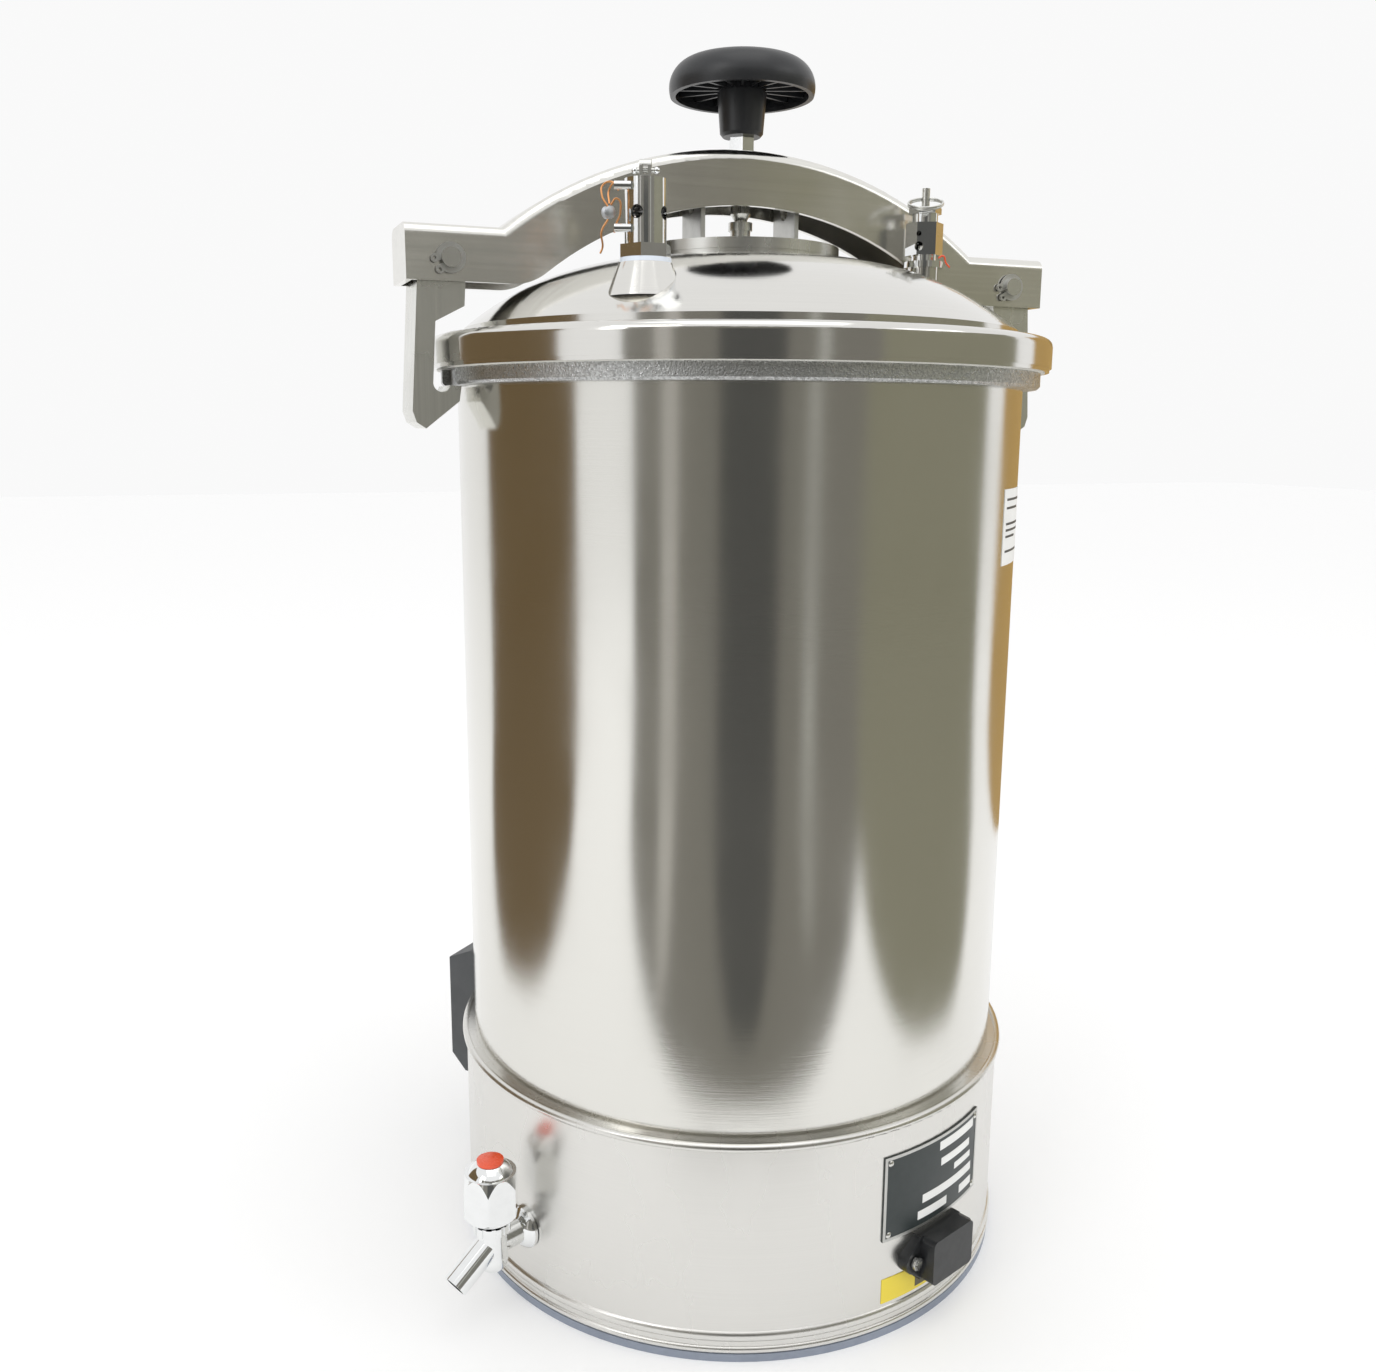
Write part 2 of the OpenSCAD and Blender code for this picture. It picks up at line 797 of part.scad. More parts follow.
// Raised seats on the dome: a cone under the safety valve, a plain boss under the vent
module valve_bosses() {
    color(bright) difference() {
        union() {
            translate([safety_x, safety_y, safety_seat - 14])
                cylinder(r1 = 17, r2 = 11.5, h = 14);
            translate([vent_x, vent_y, vent_seat - 14]) cylinder(r = 7.6, h = 14);
            translate([vent_x, vent_y, vent_seat - 12]) cylinder(r = 9.5, h = 4);
        }
        rotate_extrude() dome_fill(0);
        for (v = [[safety_x, safety_y], [vent_x, vent_y]])
            translate([v[0], v[1], dome_top - 60]) cylinder(d = 10, h = 70);
    }
}

// ---- Beam ----

// Channel section, y across and x as height below the top face
module channel_section(w, depth, r) {
    translate([-depth, -w / 2]) square([depth - r, w]);
    translate([-depth, -w / 2 + r]) square([depth, w - 2 * r]);
    for (s = [-1, 1]) translate([-r, s * (w / 2 - r)]) circle(r = r);
}

// Arch and two level ends with the same section
module channel(w, drop, reach, r) {
    translate([0, 0, arch_cz]) rotate([90, 0, 0]) rotate([0, 0, 85 - arch_angle])
        rotate_extrude(angle = 2 * arch_angle + 10, $fn = 240)
            translate([arch_r - drop, 0]) channel_section(w, 60, r);
    for (s = [-1, 1]) translate([s * (arch_half - 18), 0, end_top - drop])
        rotate([0, s > 0 ? 0 : 180, 0]) rotate([90, 0, 90])
            linear_extrude(reach - arch_half + 18)
                rotate(s > 0 ? 90 : -90) channel_section(w, 60, r);
}

// Everything below the lower edge of the channel walls
module under_outline() {
    cx = sqrt(pow(under_r + under_round, 2) - pow(end_z + under_round - under_cz, 2));
    k = under_r / (under_r + under_round);
    touch = [cx * k, under_cz + (end_z + under_round - under_cz) * k];
    translate([-beam_half - 5, end_z - 80]) square([2 * beam_half + 10, 80]);
    intersection() {
        translate([0, under_cz]) circle(r = under_r, $fn = 240);
        translate([-beam_half, end_z - 1]) square([2 * beam_half, 100]);
    }
    for (s = [-1, 1]) scale([s, 1]) difference() {
        polygon([[cx - 30, end_z - 1], [cx, end_z - 1], [cx, end_z], touch]);
        translate([cx, end_z + under_round]) circle(r = under_round);
    }
}

module beam() {
    color(bright) difference() {
        channel(beam_w, 0, beam_half, edge_r);
        channel(beam_w - 2 * beam_t, beam_t, beam_half - beam_t, edge_r - beam_t);
        rotate([90, 0, 0]) translate([0, 0, -beam_w])
            linear_extrude(2 * beam_w) under_outline();
        for (s = [-1, 1]) translate([s * pin_x, 0, pin_z]) rotate([90, 0, 0])
            cylinder(d = pin_d, h = beam_w + 10, center = true);
        translate([0, 0, crown_z - 20]) cylinder(d = screw_d + 4, h = 40);
    }
}

module beam_nut() {
    color(steel) difference() {
        union() {
            translate([0, 0, crown_z - beam_t - 18]) cylinder(d = 18, h = 17, $fn = 6);
            translate([0, 0, crown_z - beam_t - 2]) cylinder(d = screw_d + 4, h = beam_t + 2);
        }
        translate([0, 0, crown_z - 40]) cylinder(d = screw_d + 2 * thread_gap, h = 60);
    }
}

module hook_pins() {
    half = beam_w / 2 + pin_proud;
    color(steel) for (s = [-1, 1]) translate([s * pin_x, 0, pin_z]) rotate([90, 0, 0])
        rotate_extrude() difference() {
            translate([0, -half]) square([pin_d / 2, 2 * half]);
            for (k = [-1, 1]) translate([pin_d / 2 - 0.6, k * (half - 2.6) - 0.6])
                square([2, 1.2]);
        }
}

// Retaining clips in the pin grooves
module pin_clips() {
    half = beam_w / 2 + pin_proud;
    color("#8a8c8a") for (s = [-1, 1], k = [-1, 1])
        translate([s * pin_x, k * (half - 2.6), pin_z]) rotate([90, 0, 0])
            translate([0, 0, -0.5]) rotate([0, 0, 205]) difference() {
                union() {
                    cylinder(d = pin_d + 4.6, h = 1);
                    for (m = [-1, 1]) translate([pin_d / 2 + 2.2, m * 2.6, 0])
                        cylinder(r = 2, h = 1);
                }
                translate([0, 0, -1]) cylinder(d = pin_d - 1.2, h = 3);
                translate([0, -0.8, -1]) cube([12, 1.6, 3]);
                for (m = [-1, 1]) translate([pin_d / 2 + 2.4, m * 2.8, -1])
                    cylinder(r = 0.8, h = 3);
            }
}

// ---- Clamping screw ----

module clamp_screw() {
    color(steel) {
        translate([0, 0, plate_top + 3.2]) cylinder(d = neck_d, h = foot_top - plate_top + 2);
        translate([0, 0, foot_top + 4]) cylinder(d = screw_d, h = knob_z + 8 - foot_top - 4);
        translate([0, 0, foot_top + 1]) cylinder(r1 = neck_d / 2, r2 = screw_d / 2, h = 3.05);
    }
}

module screw_collar() {
    color(bright) difference() {
        translate([0, 0, crown_z + 1]) rotate([0, 0, 12])
            cylinder(r = screw_d / 2 + 1.7, h = knob_z - 18.5 - crown_z - 1, $fn = 6);
        translate([0, 0, crown_z]) cylinder(d = screw_d, h = 20);
    }
}

// Mushroom knob, hollow below with radial ribs
module hand_knob() {
    hub = 12.2;
    z = knob_z;
    color(black) difference() {
        union() {
            rotate_extrude() difference() {
                knob_fill(0);
                intersection() {
                    knob_fill(3);
                    translate([hub - 1, z - 1]) square([knob_r, knob_h]);
                }
                translate([hub, z - 1]) square([knob_r - hub - 3.2, 3.2]);
            }
            intersection() {
                rotate_extrude() knob_fill(1);
                translate([0, 0, z + 3]) for (a = [0:22.5:337.5])
                    rotate([0, 0, a]) translate([knob_r / 2, 0, 6])
                        cube([knob_r, 1.4, 12], center = true);
            }
            translate([0, 0, z - 17]) cylinder(r1 = 10.7, r2 = hub, h = 19);
            translate([0, 0, z - 18.5]) cylinder(r1 = 9.4, r2 = 10.7, h = 1.51);
        }
        translate([0, 0, z - 20]) cylinder(d = screw_d, h = 28);
    }
}

// Half section of the mushroom head
module knob_fill(inset) {
    z = knob_z;
    intersection() {
        union() {
            translate([knob_r - 13, z + 4]) circle(r = 13 - inset);
            translate([0, z + 5 - 59 + 13]) circle(r = 60 - inset - 0.6, $fn = 240);
        }
        union() {
            translate([0, z]) square([knob_r - 13, knob_h]);
            translate([knob_r - 13 - 0.01, z + 4]) intersection() {
                circle(r = 13 - inset);
                translate([0, -4]) square([20, 24]);
            }
        }
        translate([0, z]) square([knob_r - inset, knob_h - inset]);
    }
}

// ---- Hooks ----

// Outline of a hook that points to +x, drawn gripping the flange
module hook_outline() {
    relief = 4;
    top = pin_z + 8.5;
    difference() {
        polygon([[toe_in, pin_z - 20], [toe_in, pin_z + 1], [pin_x - 4, top],
            [hook_out - 6, top], [hook_out, pin_z], [hook_out, toe_z - 13],
            [hook_out - 2, toe_z - 18], [hook_out - 6.5, toe_z - 20.5],
            [toe_in + 0.6, toe_z - 7], [toe_in, toe_z], [hook_in, toe_z],
            [hook_in, pin_z - 28]]);
        translate([hook_in - relief, toe_z + 0.6]) circle(r = relief);
        translate([hook_in - relief, toe_z + 0.6]) square([relief, 6]);
        translate([pin_x, pin_z]) circle(d = pin_d + 2 * pin_gap);
    }
}

module hook() {
    translate([pin_x, 0, pin_z]) rotate([0, -hook_ajar, 0]) translate([-pin_x, 0, -pin_z])
        rotate([90, 0, 0]) translate([0, 0, -hook_w / 2]) linear_extrude(hook_w)
            hook_outline();
}

module right_hook() {
    color(bright) hook();
}

module left_hook() {
    color(bright) mirror([1, 0, 0]) hook();
}

// ---- Safety valve ----

module safety_place() {
    translate([safety_x, safety_y, safety_seat]) children();
}

module safety_body() {
    color(bright) safety_place() difference() {
        union() {
            translate([0, 0, 2]) cylinder(r = 11.4, h = 5.4, $fn = 6);
            translate([0, 0, 7]) cylinder(r = 8.9, h = 27);
            translate([0, 0, -12]) cylinder(d = 9.8, h = 15);
            // Two lugs for the lead seal
            for (z = [13.5, 30.5]) translate([-8, -4, z]) rotate([0, -90, -20])
                cylinder(d = 3.4, h = 7);
        }
        translate([0, 0, 9]) cylinder(r = 6.6, h = 20);
        translate([0, 0, 28]) cylinder(r = 2.6, h = 8);
        translate([0, 0, -13]) cylinder(d = 5, h = 23);
        for (a = [0:90:270]) rotate([0, 0, a - 135]) translate([0, 0, 20])
            rotate([0, 90, 0]) cylinder(d = 5.6, h = 12);
    }
}

module safety_washer() {
    color("#dfe4ea") safety_place() ring(11, 4.9, 0, 2);
}

// Stem with its disc on the seat and the lifting loop at the top
module safety_stem() {
    color(steel) safety_place() {
        translate([0, 0, 9.1]) cylinder(r = 5.6, h = 3);
        translate([0, 0, 12]) cylinder(r = 2.4, h = 23.4);
        difference() {
            union() {
                translate([0, 0, 39]) rotate([0, 90, -23.8]) cylinder(r = 3.1, h = 5, center = true);
                translate([0, 0, 36.9]) rotate([0, 0, -23.8])
                    cube([5, 6.2, 4.4], center = true);
            }
            translate([0, 0, 37.6]) rotate([0, 0, -23.8]) cube([2.4, 12, 4], center = true);
        }
        translate([0, 0, 37.5]) rotate([0, 90, -23.8]) cylinder(r = 1, h = 9, center = true);
    }
}

module safety_spring() {
    color("#6f7274") safety_place() for (i = [0:4])
        translate([0, 0, 12.85 + i * 3.8]) rotate_extrude() translate([4.6, 0]) circle(r = 0.7);
}

// Twisted seal wire with its lead pellet
module safety_seal() {
    color("#c77b3c") safety_place() {
        rod([-14, -6.2, 30.5], [-14.3, -6.3, 13.5], 0.8);
        rod([-15, -6.4, 28], [-20, -8, 20], 0.8);
        rod([-20, -8, 14], [-23, -9, -1], 0.8);
    }
    color("#c9ccd0") safety_place() translate([-20, -8, 17]) rotate([0, 0, 20])
        cube([4, 4.4, 6], center = true);
}

// ---- Vent valve ----

module vent_place() {
    translate([vent_x, vent_y, vent_seat]) children();
}

module vent_body() {
    color(bright) vent_place() difference() {
        union() {
            cylinder(r = 9.8, h = 3);
            translate([0, 0, 3]) cylinder(r = 6.4, h = 3);
            translate([0, 0, 6]) rotate([0, 0, -24]) cylinder(r = 9.4, h = 15.6, $fn = 6);
            translate([0, 0, 21.5]) cylinder(r = 6.4, h = 5);
            translate([0, 0, 26]) rotate([0, 0, -24]) cylinder(r = 8.2, h = 3, $fn = 6);
            translate([0, 0, -12]) cylinder(d = 9.8, h = 13);
        }
        translate([0, 0, -13]) cylinder(d = 5, h = 22);
        translate([0, 0, 8]) cylinder(r = 5.4, h = 15);
        translate([0, 0, 20]) cylinder(r = 2.15, h = 12);
        rotate([0, 0, -139]) {
            translate([0, 0, 16]) rotate([0, 90, 0]) cylinder(d = 2.4, h = 14);
            translate([0, 0, 10]) rotate([0, 90, 0]) cylinder(d = 4.4, h = 14);
        }
    }
}

module vent_stem() {
    color(steel) vent_place() difference() {
        union() {
            translate([0, 0, 8.1]) cylinder(r = 4.6, h = 2.5);
            translate([0, 0, 10]) cylinder(r = 2, h = 28.5);
        }
        translate([0, 0, 33.5]) rotate([90, 0, ring_az]) cylinder(d = 2.6, h = 10, center = true);
    }
}

// Split ring through the stem; it lies on the cap and flips up to be pulled
module vent_ring() {
    color(steel) vent_place() translate([0, 0, 33.5]) rotate([0, 0, ring_az])
        rotate([0, 24, 0]) translate([8.5, 0, 0])
            rotate_extrude() translate([8.5, 0]) circle(r = 0.8);
}

vessel_shell();
flange_ring();
base_housing();
foot_ring();
bottom_plate();
support_posts();
bottom_screws();
heater_element();
heater_glands();
dry_boil_cutout();
heater_wiring();
drain_pipe();
rack();
basket();
basket_handle();
tap_body();
tap_escutcheon();
tap_bonnet();
tap_jumper();
tap_handle();
tap_index();
mains_inlet();
inlet_pins();
inlet_screws();
rating_plate();
plate_rivets();
caution_strip();
side_label();
control_box();
display_window();
circuit_board();
key_set();
key_up();
key_down();
key_start();
power_rocker();
lid_shell();
lid_gasket();
clamp_plate();
plate_pad();
beam_guides();
screw_foot();
valve_bosses();
beam();
beam_nut();
hook_pins();
pin_clips();
clamp_screw();
screw_collar();
hand_knob();
left_hook();
right_hook();
safety_body();
safety_washer();
safety_stem();
safety_spring();
safety_seal();
vent_body();
vent_stem();
vent_ring();
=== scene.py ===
"""Dresses a portable steam pressure pot: polished vessel, clamped lid, heated base, drain tap."""

import json
import logging
import math
from dataclasses import dataclass, field
from enum import Enum
from typing import Any, Callable, Dict, Sequence, Tuple

import bmesh
import bpy
from mathutils import Matrix, Vector

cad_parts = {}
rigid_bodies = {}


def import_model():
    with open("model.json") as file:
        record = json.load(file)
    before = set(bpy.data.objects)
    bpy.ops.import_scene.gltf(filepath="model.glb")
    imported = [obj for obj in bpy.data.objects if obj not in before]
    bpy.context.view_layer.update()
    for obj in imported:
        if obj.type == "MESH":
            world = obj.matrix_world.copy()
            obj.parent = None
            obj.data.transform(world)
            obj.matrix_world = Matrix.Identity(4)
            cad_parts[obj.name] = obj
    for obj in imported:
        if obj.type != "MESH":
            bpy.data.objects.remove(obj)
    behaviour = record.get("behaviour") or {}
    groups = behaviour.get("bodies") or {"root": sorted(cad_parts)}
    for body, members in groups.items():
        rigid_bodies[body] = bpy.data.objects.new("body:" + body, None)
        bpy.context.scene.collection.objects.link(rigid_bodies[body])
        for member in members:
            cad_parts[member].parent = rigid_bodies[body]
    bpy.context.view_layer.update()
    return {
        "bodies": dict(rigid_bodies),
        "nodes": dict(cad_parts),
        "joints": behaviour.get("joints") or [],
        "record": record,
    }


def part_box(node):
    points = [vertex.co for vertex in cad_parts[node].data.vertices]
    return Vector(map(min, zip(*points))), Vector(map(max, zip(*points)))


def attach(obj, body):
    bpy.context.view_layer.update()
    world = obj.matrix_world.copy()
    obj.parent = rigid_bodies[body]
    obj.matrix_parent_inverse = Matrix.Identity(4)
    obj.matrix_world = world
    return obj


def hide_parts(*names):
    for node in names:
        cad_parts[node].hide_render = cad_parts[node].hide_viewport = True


LOG = logging.getLogger("pot")
Colour = Tuple[float, float, float]
Point = Tuple[float, float, float]
MM = 0.001
# Level directions across and toward the front view, in which the valve trim is laid out
SIDEWAYS: Point = (0.929, -0.370, 0.0)
FRONTWARD: Point = (-0.339, -0.941, 0.0)
SHANK = 12.0  # how far the vent valve's shank reaches below its seat, in millimetres


# ---- Node helpers ----

MIX_FIRST, MIX_SECOND, MIX_RESULT = 6, 7, 2  # colour sockets of the Mix node


class NodeBench:
    """Adds nodes to one tree and joins them, working from inputs to outputs."""

    def __init__(self, tree: bpy.types.NodeTree) -> None:
        """Keeps the tree.

        Args:
            tree: the node tree to work in.
        """
        self.tree = tree

    def add(self, kind: str, **settings: Any) -> bpy.types.Node:
        """Adds one node.

        Args:
            kind: Blender's type name for the node.
            settings: attributes to set on it.

        Returns:
            The new node.
        """
        node = self.tree.nodes.new(kind)
        for name, value in settings.items():
            setattr(node, name, value)
        return node

    def feed(self, socket: bpy.types.NodeSocket, value: Any) -> None:
        """Links a socket to the value, or sets it as the default when it is a plain number.

        Args:
            socket: the input to feed.
            value: an output socket, a number or a colour.
        """
        if isinstance(value, bpy.types.NodeSocket):
            self.tree.links.new(value, socket)
        elif isinstance(value, tuple) and len(value) == 3 and socket.type == "RGBA":
            socket.default_value = (*value, 1.0)
        else:
            socket.default_value = value

    def coords(self) -> bpy.types.NodeSocket:
        """Returns the object coordinates, which stay with a piece as it moves."""
        return self.add("ShaderNodeTexCoord").outputs["Object"]

    def stretch(self, vector: Any, scale: Point) -> bpy.types.NodeSocket:
        """Scales coordinates.

        Args:
            vector: the coordinates.
            scale: factor along each axis.

        Returns:
            The changed coordinates.
        """
        node = self.add("ShaderNodeMapping")
        self.feed(node.inputs["Vector"], vector)
        node.inputs["Scale"].default_value = scale
        return node.outputs["Vector"]

    def noise(
        self, vector: Any, scale: float, detail: float = 2.0, rough: float = 0.5
    ) -> bpy.types.NodeSocket:
        """Makes a noise value.

        Args:
            vector: the coordinates.
            scale: how fine the noise is, per metre.
            detail: number of finer octaves.
            rough: strength of the finer octaves.

        Returns:
            The noise, about 0 to 1.
        """
        node = self.add("ShaderNodeTexNoise")
        self.feed(node.inputs["Vector"], vector)
        node.inputs["Scale"].default_value = scale
        node.inputs["Detail"].default_value = detail
        node.inputs["Roughness"].default_value = rough
        return node.outputs["Fac"]

    def maths(self, how: str, *values: Any) -> bpy.types.NodeSocket:
        """Works out one sum.

        Args:
            how: Blender's name for the operation.
            values: the inputs in order.

        Returns:
            The result.
        """
        node = self.add("ShaderNodeMath", operation=how)
        for socket, value in zip(node.inputs, values):
            self.feed(socket, value)
        return node.outputs["Value"]

    def remap(
        self, value: Any, low: float, high: float, to_low: float, to_high: float
    ) -> bpy.types.NodeSocket:
        """Moves a value from one range to another and clamps it.

        Args:
            value: the value.
            low: start of the old range.
            high: end of the old range.
            to_low: start of the new range.
            to_high: end of the new range.

        Returns:
            The moved value.
        """
        node = self.add("ShaderNodeMapRange")
        self.feed(node.inputs["Value"], value)
        names = ("From Min", "From Max", "To Min", "To Max")
        for name, number in zip(names, (low, high, to_low, to_high)):
            node.inputs[name].default_value = number
        return node.outputs["Result"]

    def mix(self, amount: Any, a: Any, b: Any) -> bpy.types.NodeSocket:
        """Mixes two colours.

        Args:
            amount: 0 gives a, 1 gives b.
            a: first colour.
            b: second colour.

        Returns:
            The mixed colour.
        """
        node = self.add("ShaderNodeMix", data_type="RGBA")
        self.feed(node.inputs["Factor"], amount)
        self.feed(node.inputs[MIX_FIRST], a)
        self.feed(node.inputs[MIX_SECOND], b)
        return node.outputs[MIX_RESULT]

    def split(self, vector: Any) -> Tuple[bpy.types.NodeSocket, ...]:
        """Splits coordinates.

        Args:
            vector: the coordinates.

        Returns:
            The x, y and z values.
        """
        node = self.add("ShaderNodeSeparateXYZ")
        self.feed(node.inputs["Vector"], vector)
        return node.outputs["X"], node.outputs["Y"], node.outputs["Z"]

    def join(self, x: Any, y: Any, z: Any) -> bpy.types.NodeSocket:
        """Joins three values into coordinates.

        Args:
            x: first value.
            y: second value.
            z: third value.

        Returns:
            The coordinates.
        """
        node = self.add("ShaderNodeCombineXYZ")
        for socket, value in zip(node.inputs, (x, y, z)):
            self.feed(socket, value)
        return node.outputs["Vector"]


def make_group(
    name: str,
    inputs: Sequence[Tuple[str, str, Any]],
    outputs: Sequence[Tuple[str, str]],
    body: Callable[[NodeBench, Dict[str, Any]], Dict[str, Any]],
) -> bpy.types.NodeTree:
    """Builds a shader node group once.

    Args:
        name: the group's name.
        inputs: name, socket type and default of each input.
        outputs: name and socket type of each output.
        body: makes the inside, from the inputs by name to the outputs by name.

    Returns:
        The group's node tree.
    """
    tree = bpy.data.node_groups.new(name, "ShaderNodeTree")
    for label, kind, default in inputs:
        socket = tree.interface.new_socket(label, in_out="INPUT", socket_type=kind)
        if default is not None:
            socket.default_value = default
    for label, kind in outputs:
        tree.interface.new_socket(label, in_out="OUTPUT", socket_type=kind)
    bench = NodeBench(tree)
    start = bench.add("NodeGroupInput")
    end = bench.add("NodeGroupOutput")
    made = body(bench, {label: start.outputs[label] for label, _, _ in inputs})
    for label, value in made.items():
        bench.feed(end.inputs[label], value)
    return tree


FLOAT, COLOUR, VECTOR = "NodeSocketFloat", "NodeSocketColor", "NodeSocketVector"


class Effects:
    """The shader node groups that several finishes share."""

    def __init__(self) -> None:
        """Builds each group."""
        self.round_grain = make_group(
            "round_grain",
            [("Vector", VECTOR, None), ("Fineness", FLOAT, 900.0), ("Tint", FLOAT, 0.1)],
            [("Height", FLOAT), ("Shade", FLOAT), ("Gloss", FLOAT)],
            self._round_grain,
        )
        self.cloud = make_group(
            "cloud",
            [("Vector", VECTOR, None), ("Size", FLOAT, 20.0)],
            [("Fac", FLOAT), ("Fine", FLOAT)],
            self._cloud,
        )
        self.wear = make_group(
            "wear",
            [("Vector", VECTOR, None), ("Amount", FLOAT, 0.3)],
            [("Mask", FLOAT), ("Dust", FLOAT)],
            self._wear,
        )
        self.pits = make_group(
            "pits",
            [("Vector", VECTOR, None), ("Size", FLOAT, 900.0)],
            [("Height", FLOAT), ("Sparkle", FLOAT)],
            self._pits,
        )

    @staticmethod
    def _round_grain(b: NodeBench, given: Dict[str, Any]) -> Dict[str, Any]:
        """Fine lines that run round an upright axis, as a polished turned sheet has.

        Args:
            b: the bench.
            given: the group's inputs.

        Returns:
            The group's outputs.
        """
        x, y, z = b.split(given["Vector"])
        angle = b.maths("ARCTAN2", y, x)
        fine = b.maths("MULTIPLY", z, given["Fineness"])
        lines = b.noise(b.join(angle, fine, 0.0), 1.3, 4.0, 0.7)
        coarse = b.join(b.maths("MULTIPLY", angle, 3.0), b.maths("MULTIPLY", z, 9.0), 2.0)
        broad = b.noise(coarse, 1.0, 3.0)
        shade = b.maths("MULTIPLY_ADD", b.maths("SUBTRACT", lines, 0.5), given["Tint"], 1.0)
        return {"Height": lines, "Shade": shade, "Gloss": broad}

    @staticmethod
    def _cloud(b: NodeBench, given: Dict[str, Any]) -> Dict[str, Any]:
        """Soft uneven patches.

        Args:
            b: the bench.
            given: the group's inputs.

        Returns:
            The group's outputs.
        """
        node = b.add("ShaderNodeTexNoise")
        b.feed(node.inputs["Vector"], given["Vector"])
        b.feed(node.inputs["Scale"], given["Size"])
        node.inputs["Detail"].default_value = 4.0
        fine = b.add("ShaderNodeTexNoise")
        b.feed(fine.inputs["Vector"], given["Vector"])
        b.feed(fine.inputs["Scale"], b.maths("MULTIPLY", given["Size"], 40.0))
        return {"Fac": node.outputs["Fac"], "Fine": fine.outputs["Fac"]}

    @staticmethod
    def _wear(b: NodeBench, given: Dict[str, Any]) -> Dict[str, Any]:
        """Rubbed edges and a little dust on upward faces.

        Args:
            b: the bench.
            given: the group's inputs.

        Returns:
            The group's outputs.
        """
        point = b.add("ShaderNodeNewGeometry")
        edge = b.remap(point.outputs["Pointiness"], 0.5, 0.58, 0.0, 1.0)
        patch = b.remap(b.noise(given["Vector"], 220.0, 3.0), 0.4, 0.65, 0.0, 1.0)
        mask = b.maths("MULTIPLY", b.maths("MULTIPLY", edge, patch), given["Amount"])
        _, _, up = b.split(point.outputs["Normal"])
        level = b.remap(up, 0.6, 1.0, 0.0, 1.0)
        dust = b.maths("MULTIPLY", level, b.remap(patch, 0.3, 1.0, 0.0, 0.4))
        return {"Mask": mask, "Dust": dust}

    @staticmethod
    def _pits(b: NodeBench, given: Dict[str, Any]) -> Dict[str, Any]:
        """Small pits and bright specks, as blasted or cast metal has.

        Args:
            b: the bench.
            given: the group's inputs.

        Returns:
            The group's outputs.
        """
        cells = b.add("ShaderNodeTexVoronoi")
        b.feed(cells.inputs["Vector"], given["Vector"])
        b.feed(cells.inputs["Scale"], given["Size"])
        x, _, _ = b.split(cells.outputs["Color"])
        return {"Height": cells.outputs["Distance"], "Sparkle": x}


# ---- Finishes ----


class Grain(Enum):
    """How the marks of a finish run."""

    ROUND = "round the pot"
    ALONG = "along the beam"
    UPRIGHT = "up and down"
    NONE = "no direction"


@dataclass(frozen=True)
class Metal:
    """A bare or plated metal."""

    name: str
    colour: Colour
    rough: float = 0.2
    rough_spread: float = 0.1
    grain: Grain = Grain.NONE
    fineness: float = 900.0
    bump: float = 0.02
    tint: float = 0.06
    wave: float = 0.0

    def make(self, effects: Effects) -> bpy.types.Material:
        """Builds the material.

        Args:
            effects: the shared node groups.

        Returns:
            The material.
        """
        material, b, shader = blank(self.name)
        space = b.coords()
        if self.grain is Grain.ROUND:
            group = b.add("ShaderNodeGroup", node_tree=effects.round_grain)
            b.feed(group.inputs["Vector"], space)
            group.inputs["Fineness"].default_value = self.fineness
            group.inputs["Tint"].default_value = self.tint * 2
            height, shade, gloss = (group.outputs[k] for k in ("Height", "Shade", "Gloss"))
        else:
            across = {
                Grain.ALONG: (3.0, self.fineness, self.fineness),
                Grain.UPRIGHT: (self.fineness, self.fineness, 3.0),
                Grain.NONE: (200.0, 200.0, 200.0),
            }[self.grain]
            height = b.noise(b.stretch(space, across), 1.0, 3.0, 0.6)
            shade = b.remap(height, 0.3, 0.7, 1.0 - self.tint, 1.0 + self.tint)
            gloss = b.noise(space, 24.0, 3.0)
        hue = b.add("ShaderNodeHueSaturation")
        hue.inputs["Color"].default_value = (*self.colour, 1.0)
        b.feed(hue.inputs["Value"], shade)
        b.feed(shader.inputs["Base Color"], hue.outputs["Color"])
        shader.inputs["Metallic"].default_value = 1.0
        lift = b.remap(gloss, 0.3, 0.7, self.rough, self.rough + self.rough_spread)
        b.feed(shader.inputs["Roughness"], lift)
        bump = b.add("ShaderNodeBump")
        bump.inputs["Strength"].default_value = self.bump
        bump.inputs["Distance"].default_value = 0.0004
        b.feed(bump.inputs["Height"], height)
        if self.wave:
            slow = b.add("ShaderNodeBump")
            slow.inputs["Strength"].default_value = self.wave
            slow.inputs["Distance"].default_value = 0.004
            b.feed(slow.inputs["Height"], b.noise(b.stretch(space, (9.0, 9.0, 2.2)), 1.0, 1.0))
            b.feed(bump.inputs["Normal"], slow.outputs["Normal"])
        b.feed(shader.inputs["Normal"], bump.outputs["Normal"])
        return material


